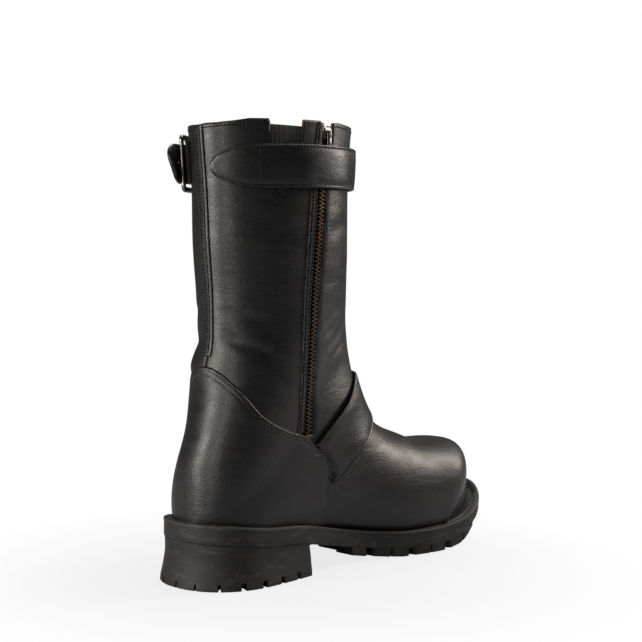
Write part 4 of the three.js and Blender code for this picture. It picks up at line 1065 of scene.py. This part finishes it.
SLIDER_WIDTH = 10.0
slider_spot = on_skin([[zip_place(SLIDER_MIDDLE), SLIDER_MIDDLE]])[0]
slider_point = form(*slider_spot)
slider_out = outward(*slider_spot) * [1, 1, 0]
slider_out = slider_out / np.linalg.norm(slider_out)
slider_side = np.array([0.0, 0.0, 1.0])
slider_along = np.cross(slider_side, slider_out)
slider_axes = np.stack([slider_along, slider_side, slider_out])[None]


def at_slider(shape, x, y, lift):
    """A small shape on the slider's seat, some way along, up and out."""
    middle = slider_point + np.array([x, y, lift]) @ slider_axes[0]
    return copies(shape, middle[None], slider_axes)


slider_plate = pebble(SLIDER_WIDTH / 2, SLIDER_HEIGHT / 2, 0.8, 0.4, 20, 6)
points, faces = joined([
    at_slider(slider_plate, 0, 0, 0.6),
    at_slider(slider_plate, 0, 0, -1.4),
    at_slider(pebble(1.1, 3.2, 1.4, 0.5, 12, 6), 0, 0.6, -0.4),  # the wedge between the plates
    at_slider(pebble(0.75, 0.9, 1.7, 0.5, 12, 6), 0, 1.4, 2.1),  # the bridge's post
    at_slider(pebble(0.75, 3.0, 0.5, 0.5, 12, 6), 0, -0.4, 3.4),  # the bridge
])
new_piece("zip_slider_body", points, faces, nickel, "boot", "zip_slider", slot="zip_brass",
          sharp=60)


# Pull tab. A nickel tab punched with an eye at its top that swings on the slider's bridge.
TAB_WIDTH = 5.2
TAB_LENGTH = 21.0
TAB_THICKNESS = 1.2
TAB_EYE = 2.4
EYE_BELOW_TOP = 2.4
SLIDER_TALL = 3.6


def tab_rings():
    """Closed loops round the tab and its eye: the outline out and in again over the edge, and
    the eye through it."""
    turn = np.linspace(0, 2 * np.pi, 48, endpoint=False)
    rings = []
    eye_y = TAB_LENGTH / 2 - EYE_BELOW_TOP
    for shrink, level in ((None, 0), (0.35, 0), (0, 0.3), (0, 0.7), (0.35, 1), (None, 1)):
        if shrink is None:
            x, y = TAB_EYE / 2 * np.cos(turn), eye_y + TAB_EYE / 2 * np.sin(turn)
        else:
            x = (TAB_WIDTH / 2 - shrink) * bent(np.cos(turn), 0.55)
            y = (TAB_LENGTH / 2 - shrink) * bent(np.sin(turn), 0.55)
        rings.append(np.stack([x, y, level * TAB_THICKNESS + 0 * x], -1))
    return np.array(rings)


def loft(rings, closed_rings=True, closed_length=False):
    """Quads between rings of equal count, which may wrap round and close on the first."""
    n, m = rings.shape[:2]
    i = np.arange(n if closed_length else n - 1)[:, None]
    j = np.arange(m if closed_rings else m - 1)[None]
    a, b = i * m + j, i * m + (j + 1) % m
    c, d = ((i + 1) % n) * m + (j + 1) % m, ((i + 1) % n) * m + j
    return rings.reshape(-1, 3), np.stack([a, b, c, d], -1).reshape(-1, 4)


points, faces = at_slider(
    loft(tab_rings(), closed_length=True),
    0, EYE_BELOW_TOP - TAB_LENGTH / 2, -LEATHER + SLIDER_TALL + GAP)
new_piece("zip_pull_tab", points, faces, nickel, "pull", "zip_pull", slot="nickel_plate",
          sharp=50)


# Collar strap. A padded strap sewn down at its oval end beside the gore, over gore and zip,
# round the front of the collar and through a buckle behind the outer ankle.
STRAP_WIDTH = 30.5
STRAP_THICKNESS = 2.3
TAIL_WIDTH = 29.0
TAIL_TWIST = 1.8
FRAME_LENGTH = 27.0
FRAME_BAR = 4.2
FRAME_THICKNESS = 3.2
FRAME_MARGIN = 6.2
BUCKLE_LIFT = 3.6
UNDER_BAR = 1.2
OVER_BAR = 8.9
CLIMB = 15.5
TAIL_LIFT = 2.4
TAIL_PAST = 21.0
TAIL_ROUND = 9.0
COLLAR_BUCKLE = -0.735
STRAP_TIP = 0.935
STRAP_SHOULDER = 0.71
COLLAR_STRAP = [
    # place, height, stand-off
    (-0.95, 0.918, 0.5),
    (-0.5, 0.922, 0.9),
    (0, 0.917, 1.5),
    (0.25, 0.914, 2.6),
    (0.42, 0.91, 4.6),
    (0.54, 0.907, 4.6),
    (0.7, 0.903, 0.7),
    (0.95, 0.901, 0.5),
]
HALF_STRAP = np.array([
    # share of the half width, share of the thickness: from the strap's back edge to its middle
    (-0.97, 0),
    (-1, 0.25),
    (-1, 0.7),
    (-0.975, 0.95),
    (-0.93, 1.02),
    (-0.895, 0.92),
    (-0.865, 0.84),
    (-0.835, 0.92),
    (-0.79, 1.04),
    (-0.5, 1.16),
    (0, 1.2),
])
STRAP_SECTION = np.concatenate([HALF_STRAP, HALF_STRAP[-2::-1] * [-1, 1]])
STITCH_SHARE = 0.865


def buckled_stand_off(distance, base):
    """Stand-off of a buckled strap: low under the front bar, over the back bar, and out at
    its end; the distance counts from the frame's middle towards the strap's far end."""
    rise = smoothstep(-distance, -CLIMB / 2, CLIMB / 2)
    tail = smoothstep(-distance, FRAME_LENGTH / 2, TAIL_PAST)
    near = 1 - smoothstep(distance, FRAME_LENGTH / 2, FRAME_LENGTH)
    low = base + (UNDER_BAR - base) * near
    return low + (OVER_BAR - low) * rise + TAIL_LIFT * tail


def buckle_seat(path, s):
    """Point and axes (along the strap, across it, outward) where a frame sits, and how many
    millimetres a unit of place is there."""
    step = 0.01
    point = form(path(s), s)
    out = outward(path(s), s)
    ahead = form(path(s + step), s + step) - form(path(s - step), s - step)
    side = unit(np.cross(out, ahead))
    along = np.cross(side, out)
    return point, np.stack([along, side, out]), np.linalg.norm(ahead) / (2 * step)


def strap_points(rows, s, off, twist):
    """Rings of a strap's section over its stations, standing off the skin and twisted, so
    that the upper edge stands further out than the lower one."""
    lift = off[:, None] + STRAP_THICKNESS * STRAP_SECTION[:, 1]
    lift = lift + twist[:, None] * STRAP_SECTION[:, 0]
    return form(rows, s[:, None]) + outward(rows, s[:, None]) * lift[..., None]


def capped(rings):
    """Faces of a lofted strip with its two end rings closed."""
    n, m = rings.shape[:2]
    points, faces = loft(rings)
    ends = [tuple(range(m))[::-1], tuple((n - 1) * m + k for k in range(m))]
    return points, [tuple(f) for f in faces] + ends


def narrowing(distance):
    """How far a strap has narrowed to its tail, and its width's share near the tail's end."""
    narrow = 1 - smoothstep(distance, FRAME_LENGTH / 2, 1.5 * FRAME_LENGTH)
    end = np.clip((-distance - TAIL_PAST + TAIL_ROUND) / TAIL_ROUND, 0, 1)
    return narrow, np.sqrt(1 - 0.8 * end ** 2)


def collar_height(s):
    return reading(COLLAR_STRAP, s)[..., 0] * BOOT_HEIGHT


def collar_path(s):
    return row_at(s, collar_height(s))


collar_seat = buckle_seat(collar_path, COLLAR_BUCKLE)
collar_rate = collar_seat[2]


def collar_half(s):
    """Half the strap's width: narrower past the buckle, closing to an oval at its sewn end."""
    narrow, tail = narrowing((s - COLLAR_BUCKLE) * collar_rate)
    full = STRAP_WIDTH + (TAIL_WIDTH - STRAP_WIDTH) * narrow
    oval = np.clip((s - STRAP_SHOULDER) / (STRAP_TIP - STRAP_SHOULDER), 0, 1)
    return full / 2 * np.maximum(np.sqrt(1 - oval ** 2), 0.04) * tail


def collar_off(s):
    return buckled_stand_off(
        (s - COLLAR_BUCKLE) * collar_rate, reading(COLLAR_STRAP, s)[..., 1])


strap_leather = leather_material("oiled strap leather", "#0f0f0f", "#1a1714", 0.38, 1.3, 0.9)
oval = STRAP_SHOULDER + (STRAP_TIP - STRAP_SHOULDER) * np.sin(np.linspace(0, np.pi / 2, 22))
s = np.concatenate([
    np.linspace(COLLAR_BUCKLE - TAIL_PAST / collar_rate, STRAP_SHOULDER, 150)[:-1], oval])
rows = row_at(s[:, None], collar_height(s)[:, None] + collar_half(s)[:, None] * STRAP_SECTION[:, 0])
twist = TAIL_TWIST * smoothstep((COLLAR_BUCKLE - s) * collar_rate, 6, TAIL_PAST)
points, faces = capped(strap_points(rows, s, collar_off(s) + 0.5 * twist, twist))
new_piece("collar_strap_leather", points, faces, strap_leather, "boot", "collar_strap",
          slot="strap_leather", sharp=70)


def strap_seam(s, rows, off, lift=0.9):
    """Stitches in the crease of a strap along its stations."""
    normals = outward(rows, s)
    points = form(rows, s) + normals * (off + lift * STRAP_THICKNESS)[:, None]
    return copies(STITCH, *laid(points, normals, STITCH_PITCH, 1.5))


strap_seams = []
sewn_s = s[s > COLLAR_BUCKLE + FRAME_LENGTH / collar_rate]
for share in (-STITCH_SHARE, STITCH_SHARE):
    rows = row_at(sewn_s, collar_height(sewn_s) + share * collar_half(sewn_s))
    strap_seams.append(strap_seam(sewn_s, rows, collar_off(sewn_s)))
across = np.linspace(-0.86, 0.86, 30)
cross_s = np.full(30, STRAP_SHOULDER + 0.018)
rows = row_at(cross_s, collar_height(cross_s) + across * collar_half(cross_s))
strap_seams.append(strap_seam(cross_s, rows, collar_off(cross_s), 1.15))


# Instep strap. The same strap leather over the instep, from under the counter's front edge
# to a buckle on the outer side.
INSTEP_BUCKLE = -0.475
INSTEP_TAIL = 26.0
TUCKED_UNDER = 1.2  # below the skin where the strap dives under the counter's edge
EDGE_STANDS = 2.2  # how far the strap's edges lift off beside the zip's foot
SEAM_STANDS = 1.7
INSTEP_STRAP = [
    # place, low row, high row, stand-off
    (-0.7, 9.7, 11.1, 0.9),
    (-0.575, 9.4, 10.62, 0.9),
    (-0.43, 8.84, 10.2, 0.9),
    (-0.295, 8.35, 9.86, 1),
    (0, 7.85, 9.25, 1.4),
    (0.295, 8.35, 9.86, 1),
    (0.43, 8.84, 10.2, 0.9),
    (0.575, 9.4, 10.62, 0.9),
    (0.73, 9.78, 11.1, 0.9),
]


def instep_middle(s):
    row = reading(INSTEP_STRAP, s)
    return (row[..., 0] + row[..., 1]) / 2


instep_seat = buckle_seat(instep_middle, INSTEP_BUCKLE)
instep_rate = instep_seat[2]
buckled = reading(INSTEP_STRAP, INSTEP_BUCKLE)
instep_width = np.linalg.norm(
    form(buckled[1], INSTEP_BUCKLE) - form(buckled[0], INSTEP_BUCKLE))


def instep_rows(s, share):
    """Rows across the instep strap at a share of its half width."""
    row = reading(INSTEP_STRAP, s)
    narrow, tail = narrowing((s - INSTEP_BUCKLE) * instep_rate)
    half = (row[..., 1] - row[..., 0]) / 2 * (1 + (INSTEP_TAIL / instep_width - 1) * narrow)
    return instep_middle(s) + share * half * tail


def instep_off(s):
    return buckled_stand_off(
        (s - INSTEP_BUCKLE) * instep_rate, reading(INSTEP_STRAP, s)[..., 2])


def tucked(points):
    """How much of its height a strap keeps near the counter: none inside its front edge."""
    inside = side_field(points.reshape(-1, 3), COUNTER_EDGE, 1).reshape(points.shape[:-1])
    return smoothstep(-inside, 0.3, 1.8)


def standing(s):
    """Where the instep strap's edges stand off the skin: beside the zip's foot."""
    return smoothstep(s, 0.32, 0.5) * (1 - smoothstep(s, 0.5, 0.8))


s = np.linspace(INSTEP_BUCKLE - TAIL_PAST / instep_rate, INSTEP_STRAP[-1][0], 220)
rows = instep_rows(s[:, None], STRAP_SECTION[:, 0])
skin_points = form(rows, s[:, None])
lift = instep_off(s)[:, None] + STRAP_THICKNESS * STRAP_SECTION[:, 1] + TUCKED_UNDER
edges = smoothstep(np.abs(STRAP_SECTION[:, 0]), 0.2, 1)
lift = lift + EDGE_STANDS * edges * standing(s)[:, None]
lift = lift * tucked(skin_points) - TUCKED_UNDER
rings = skin_points + outward(rows, s[:, None]) * lift[..., None]
points, faces = capped(rings)
new_piece("instep_strap_leather", points, faces, strap_leather, "boot", "instep_strap",
          slot="strap_leather", sharp=70)

sewn_s = s[(s > INSTEP_BUCKLE + FRAME_LENGTH / instep_rate) & (s < 0.6)]
off = instep_off(sewn_s) + SEAM_STANDS * standing(sewn_s)
for share in (-STITCH_SHARE, STITCH_SHARE):
    rows = instep_rows(sewn_s, share)
    keep = tucked(form(rows, sewn_s)) > 0.95
    strap_seams.append(strap_seam(sewn_s[keep], rows[keep], off[keep]))
points, faces = joined(strap_seams)
new_piece("strap_stitches", points, faces, thread_material, "boot", sharp=80)


# Buckles. Nickel frames of bent and brazed rod, each with a nickel prong hinged on its back
# bar, and a leather chape folded round that bar and sewn down behind it.
FRAME_ROUND = 5.0
CHAPE = [
    # from the frame's middle, thickness
    (-27, 1.7),
    (-18, 1.7),
    (-15.5, 2.2),
    (-14, 2.7),
    (-10, 2.7),
    (-9, 1.7),
]
CHAPE_OFF = 0.5
PRONG_LIFT = 1.5
PRONG = [
    # from the frame's middle, radius
    (-13.1, 0.4),
    (-12.4, 1.15),
    (-10.5, 1.2),
    (-6, 1.2),
    (0, 1.2),
    (6, 1.15),
    (10.5, 1.05),
    (12.6, 0.8),
    (13.1, 0.25),
]
COLLAR_OPENING = 30.0
COLLAR_CHAPE = 32.0
INSTEP_OPENING = 29.0
INSTEP_CHAPE = 24.0


def placed(points, point, axes, lift):
    """Points along, across and out of a buckle's seat, in foot millimetres."""
    return point + (points + [0, 0, lift]) @ axes


def frame_loft(width):
    """A rounded rectangle of rod: its middle line swept by a rounded section."""
    half_long = FRAME_LENGTH / 2 - FRAME_BAR / 2
    half_wide = width / 2 - FRAME_BAR / 2
    radius = FRAME_ROUND - FRAME_BAR / 2
    turn = np.linspace(0, np.pi / 2, 8)
    corners = [(1, 1, 0), (-1, 1, 1), (-1, -1, 2), (1, -1, 3)]
    middle = []
    out = []
    for x, y, quarter in corners:
        angle = turn + quarter * np.pi / 2
        direction = np.stack([np.cos(angle), np.sin(angle)], 1)
        middle.append([x * (half_long - radius), y * (half_wide - radius)] + radius * direction)
        out.append(direction)
    middle = np.concatenate(middle)
    out = np.concatenate(out)
    around = np.linspace(0, 2 * np.pi, 12, endpoint=False)
    wide = FRAME_BAR / 2 * bent(np.cos(around), 0.7)
    tall = FRAME_THICKNESS / 2 * bent(np.sin(around), 0.7)
    flat = middle[:, None] + out[:, None] * wide[None, :, None]
    rings = np.concatenate([flat, np.broadcast_to(tall[None, :, None], flat.shape[:2] + (1,))], -1)
    points, faces = loft(rings, closed_length=True)
    return points + [0, 0, FRAME_THICKNESS / 2], faces


def prong_loft():
    """A round prong from a loop on the back bar to the front bar, tapered at its tip."""
    x, radius = np.transpose(PRONG)
    turn = np.linspace(0, 2 * np.pi, 12, endpoint=False)
    y = radius[:, None] * np.cos(turn)
    z = radius[:, None] * np.sin(turn) + PRONG_LIFT
    return loft(np.stack([x[:, None] + 0 * y, y, z], -1))


def chape_loft(point_rate, path, place, width):
    """The folded chape: a strip along the strap's path, thicker round the bar."""
    distance = np.linspace(CHAPE[0][0], CHAPE[-1][0], 24)
    thickness = reading(CHAPE, distance)[..., 0]
    s = place + distance / point_rate
    row = path(s)
    scale = np.linalg.norm(form(row + 0.1, s) - form(row - 0.1, s), axis=-1) / 0.2
    rows = row[:, None] + STRAP_SECTION[:, 0] * (width / 2 / scale)[:, None]
    lift = CHAPE_OFF + thickness[:, None] * np.minimum(STRAP_SECTION[:, 1], 1)
    return capped(form(rows, s[:, None]) + outward(rows, s[:, None]) * lift[..., None])


for name, width, chape_width, seat, path, place in (
    ("collar", COLLAR_OPENING, COLLAR_CHAPE, collar_seat, collar_path, COLLAR_BUCKLE),
    ("instep", INSTEP_OPENING, INSTEP_CHAPE, instep_seat, instep_middle, INSTEP_BUCKLE),
):
    point, axes, rate = seat
    points, faces = frame_loft(width + 2 * FRAME_MARGIN)
    new_piece(name + "_frame", placed(points, point, axes, BUCKLE_LIFT), faces, nickel, "boot",
              name + "_buckle", slot="nickel_plate", sharp=60)
    points, faces = prong_loft()
    points = placed(points, point, axes, BUCKLE_LIFT + FRAME_THICKNESS)
    new_piece(name + "_prong_pin", points, faces, nickel, "boot", name + "_prong",
              slot="nickel_plate", sharp=60)
    points, faces = chape_loft(rate, path, place, chape_width)
    new_piece(name + "_chape_fold", points, faces, strap_leather, "boot", name + "_chape",
              slot="strap_leather", sharp=70)


# Welt. A rubber welt all round the seat, with a stitched groove on top and a lighter edge.
def outline(turn, inset):
    """Points of the sole's outline by turn, from the back by the medial side to the toe at 1
    and by the lateral side back at 2, moved in by an inset."""
    y = inset + (SOLE_LENGTH / 2 - inset) * (1 - np.cos(np.pi * turn))
    medial = turn <= 1
    x = middle_line(y) + np.where(medial, 1, -1) * half_width(y, medial, inset)
    return np.stack([x, y], -1)


EDGE_TURNS = np.linspace(0, 2, 1601)
EDGE_PATH = outline(EDGE_TURNS, 0.0)
EDGE_LENGTHS = np.concatenate([
    [0], np.cumsum(np.linalg.norm(np.diff(EDGE_PATH, axis=0), axis=1))])
WELT_SECTION = [
    # inset, height over the seat
    (10.5, 2.6),
    (7.0, 3.3),
    (5.4, 3.3),
    (5.0, 2.5),
    (3.9, 2.5),
    (3.5, 3.3),
    (1.0, 3.3),
    (0.2, 3.15),
    (-0.25, 2.8),
    (-0.25, 1.2),
    (0.3, 1.0),
    (10.5, 0.6),
]


def rubber_material(name, base, dust, roughness, dust_share):
    """Moulded rubber: matt, pitted by the mould, with pale dust and scuffs in streaks."""
    material, tree = new_material(name)
    place = node(tree, "TexCoord").outputs["Object"]
    flat = node(tree, "Mapping", links={"Vector": place, "Scale": (1.0, 1.0, 4.0)}).outputs[0]
    scuffs = node(tree, "TexNoise", links={
        "Vector": flat, "Scale": 1000 / 22, "Detail": 8.0, "Roughness": 0.75})
    pits = node(tree, "TexNoise", links={"Vector": place, "Scale": 1000 / 0.7, "Detail": 3.0})
    share = node(tree, "MapRange", links={
        "Value": scuffs.outputs["Fac"], "From Min": 0.52, "From Max": 0.75,
        "To Max": dust_share})
    tint = node(tree, "Mix", {"data_type": "RGBA"}, {
        "Factor": share.outputs["Result"], 6: linear(base), 7: linear(dust)})
    rough = node(tree, "Bump", links={
        "Height": pits.outputs["Fac"], "Strength": 0.35, "Distance": 0.0004})
    surface(tree, node(tree, "BsdfPrincipled", links={
        "Base Color": tint.outputs[2], "Roughness": roughness, "Normal": rough.outputs["Normal"],
        "Specular IOR Level": 0.4}))
    return material


welt_rubber = rubber_material("welt rubber", "#2b2b29", "#6b6963", 0.5, 0.35)
sole_rubber = rubber_material("sole rubber", "#161615", "#66645f", 0.6, 0.42)


def moulding(section, count):
    """A closed tube round the sole from a section of insets and heights over the seat."""
    turn = np.linspace(0, 2, count, endpoint=False)
    rings = []
    for inset, height in section:
        ring = outline(turn, inset)
        rings.append(np.column_stack([ring, seat_height(ring[:, 1]) + height]))
    return loft(np.array(rings).transpose(1, 0, 2), closed_length=True)


points, faces = moulding(WELT_SECTION, 360)
new_piece("welt_ring", points, faces, welt_rubber, "boot", "welt", slot="welt_rubber", sharp=40)


def edge_line(inset, pitch):
    """Places and axes at an even pitch round the sole, at an inset from its edge."""
    at = np.arange(pitch / 2, EDGE_LENGTHS[-1], pitch)
    turn = np.interp(at, EDGE_LENGTHS, EDGE_TURNS)
    here = outline(turn, inset)
    ahead = outline(np.clip(turn + 0.002, 0, 2), inset) - outline(np.clip(turn - 0.002, 0, 2), inset)
    height = seat_height(here[:, 1])
    slope = (seat_height(here[:, 1] + 1) - seat_height(here[:, 1] - 1)) / 2 * ahead[:, 1]
    along = unit(np.column_stack([ahead, slope]))
    side = unit(np.cross([[0, 0, 1]], along))
    return np.column_stack([here, height]), np.stack([along, side, np.cross(along, side)], 1)


# Natural welt thread, soiled to grey
welt_thread, tree = new_material("soiled welt thread")
surface(tree, node(tree, "BsdfPrincipled", links={
    "Base Color": linear("#5a5750"), "Roughness": 0.8, "Specular IOR Level": 0.3}))
places, axes = edge_line(4.45, 5.0)
points, faces = copies(pebble(1.9, 0.5, 0.5, 0.7, 6, 4), places + [0, 0, 2.75], axes)
new_piece("welt_stitches", points, faces, welt_thread, "boot", sharp=80)


# Insole. A leather-covered sock over the seat, seen down the collar.
def plate(section, count):
    """A closed plate with the sole's outline from a section of insets and heights over the
    seat: rings joined at the edge, and a ladder across the top and the bottom."""
    turn = np.linspace(0, 2, count, endpoint=False)
    rings = []
    for inset, height in section:
        ring = outline(turn, inset)
        rise = height(ring[:, 1]) if callable(height) else height
        rings.append(np.column_stack([ring, seat_height(ring[:, 1]) + rise]))
    points, faces = loft(np.array(rings))
    k = np.arange(count // 2)
    ladder = np.stack([k, k + 1, count - k - 1, (count - k) % count], 1)
    return points, np.concatenate([faces, ladder, ladder + (len(section) - 1) * count])


sock, tree = new_material("sock lining")
place = node(tree, "TexCoord").outputs["Object"]
worn = node(tree, "TexNoise", links={"Vector": place, "Scale": 1000 / 25, "Detail": 5.0})
tint = node(tree, "Mix", {"data_type": "RGBA"}, {
    "Factor": worn.outputs["Fac"], 6: linear("#3a2f26"), 7: linear("#5a4a3b")})
surface(tree, node(tree, "BsdfPrincipled", links={
    "Base Color": tint.outputs[2], "Roughness": 0.8, "Specular IOR Level": 0.3}))
inside = WELT_MARGIN + LEATHER + 1.0
points, faces = plate([(inside, 0.5), (inside, 3.0), (inside + 0.8, 3.5)], 200)
new_piece("sock", points, faces, sock, "boot", "insole", slot="insole_lining")


# Outsole. A moulded rubber plate with lugs round the forefoot and bars between them.
BASE_THICKNESS = 10.3
TREAD_FLAT = 0.4
LUG_PITCH = 20.0
LUG_REACH = 19.0
BAR = (30.0, 11.0)
LUGS_FROM = 0.46
BARS_FROM = 0.53
BARS_SPAN = 0.36
BARS_ASIDE = 0.02
LUG_SLIT = 2.4
LUG_WIDE = 7.6
TOE_THIN = 5.5
TOE_THIN_RUN = (0.82, 0.93)  # along the sole
TREAD_THIN = 1.9  # the tread thins this much faster than the plate
OUTSOLE_SECTION = [
    # inset, share of the plate's thickness over the seat
    (1.0, -1),
    (0.1, -0.95),
    (0.0, -0.85),
    (0.0, -0.5),
    (0.0, 0.1),
]


def toe_thinning(y):
    """How much the sole is thinned towards the tip of the toe."""
    return TOE_THIN * smoothstep(y / SOLE_LENGTH, *TOE_THIN_RUN)


def base_bottom(y):
    return seat_height(y) - BASE_THICKNESS + toe_thinning(y)


def tread_bottom(y):
    return np.maximum(seat_height(y) - FORE_RISE - TREAD_FLAT + TREAD_THIN * toe_thinning(y), 0)


def block(ring):
    """A tread block on a ring of corners: a soft lower edge and straight sides."""
    middle = ring.mean(0)
    inner = ring + 0.7 * unit(middle - ring)
    floor = tread_bottom(ring[:, 1])
    rings = np.stack([
        np.column_stack([inner, floor]),
        np.column_stack([ring, floor + 0.7]),
        np.column_stack([ring, base_bottom(ring[:, 1]) + 0.6])])
    return capped(rings)


tread = []
start = np.arccos(1 - 2 * LUGS_FROM) / np.pi
first = np.interp(start, EDGE_TURNS, EDGE_LENGTHS)
lugs = round((EDGE_LENGTHS[-1] - 2 * first) / LUG_PITCH)
pitch = (EDGE_LENGTHS[-1] - 2 * first) / lugs
for k in range(lugs):
    before, after = (LUG_WIDE, LUG_SLIT) if k % 2 else (LUG_SLIT, LUG_WIDE)
    ends = first + k * pitch + before / 2, first + (k + 1) * pitch - after / 2
    turns = np.interp(np.linspace(*ends, 7), EDGE_LENGTHS, EDGE_TURNS)
    tread.append(block(np.concatenate([
        outline(turns, 0.35), outline(turns[::-1], LUG_REACH)])))
for k in range(int(BARS_SPAN * SOLE_LENGTH / LUG_PITCH)):
    y = BARS_FROM * SOLE_LENGTH + k * LUG_PITCH
    x = middle_line(y) - BARS_ASIDE * BALL_WIDTH
    corners = np.array([(-1, -1), (1, -1), (1, 1), (-1, 1)]) * BAR / 2
    tread.append(block(corners + [x, y]))
section = [(inset, lambda y, share=share: share * (BASE_THICKNESS - toe_thinning(y)))
           for inset, share in OUTSOLE_SECTION]
points, faces = plate(section, 360)
faces = [tuple(f) for f in faces]
for block_points, block_faces in tread:
    faces += [tuple(len(points) + k for k in f) for f in block_faces]
    points = np.concatenate([points, block_points])
new_piece("outsole_rubber", points, faces, sole_rubber, "boot", "outsole", slot="sole_rubber",
          sharp=35)


# Heel block. Stacked and moulded, flared to the floor, with notches round its lower edge.
HEEL_LENGTH = 92.0
HEEL_FLARE = [
    # height, spread
    (0, 2.3),
    (0.7, 2.8),
    (11.7, 0.8),
    (23.4, -0.8),
    (28.7, -0.6),
]
NOTCH_WIDTH = 4.2
NOTCH_FINE = 1.5  # round the back the notches are slits
NOTCH_DEPTH = 8.0
NOTCH_HEIGHT = 5.0
HEEL_LUG_PITCH = 16.5
breast = np.arccos(1 - 2 * HEEL_LENGTH / SOLE_LENGTH) / np.pi
run = np.interp(breast, EDGE_TURNS, EDGE_LENGTHS)
notches = int(2 * run / HEEL_LUG_PITCH)
notch_pitch = 2 * run / notches
stations = [(at, 0) for at in np.linspace(-run, run, 90)]
for k in range(1, notches):
    middle = -run + k * notch_pitch
    share = smoothstep(abs(middle) / run, 0.2, 0.5)
    half = (NOTCH_FINE + (NOTCH_WIDTH - NOTCH_FINE) * share) / 2
    stations = [(at, cut) for at, cut in stations if abs(at - middle) > half or cut]
    for at in (middle - half, middle + half):
        stations += [(at, 0), (at, 1)]
stations.sort(key=lambda item: (item[0], item[1]))
ordered = []
for at, cut in stations:
    ordered.append((at, cut))
for k in range(len(ordered) - 1):
    falls = ordered[k][0] == ordered[k + 1][0] and ordered[k][1] < ordered[k + 1][1]
    if falls and k and ordered[k - 1][1] == 1:
        ordered[k], ordered[k + 1] = ordered[k + 1], ordered[k]
ordered = np.array(ordered, float)
turns = np.interp(ordered[:, 0] % EDGE_LENGTHS[-1], EDGE_LENGTHS, EDGE_TURNS)
edge = outline(turns, 0.0)
away = unit(edge - np.column_stack([middle_line(edge[:, 1]), np.full(len(edge), HEEL_REST)]))


def heel_ring(z, notched):
    spread = reading(HEEL_FLARE, z)[..., 0] - NOTCH_DEPTH * ordered[:, 1] * notched
    ring = edge + away * spread[..., None]
    ring[:, 1] = np.minimum(ring[:, 1], HEEL_LENGTH)
    return np.column_stack([ring, np.broadcast_to(z, len(ring))])


top = base_bottom(np.minimum(edge[:, 1], HEEL_LENGTH)) - 0.1
levels = [(0.0, 1), (0.7, 1), (NOTCH_HEIGHT, 1), (NOTCH_HEIGHT, 0)]
rings = [heel_ring(np.full(len(edge), z), notched) for z, notched in levels]
rings += [heel_ring(np.full(len(edge), z), 0) for z in (9, 13, 17, 21, 24)]
rings.append(heel_ring(top, 0))
points, faces = capped(np.array(rings))
new_piece("heel_block", points, faces, sole_rubber, "boot", "heel", slot="sole_rubber", sharp=30)
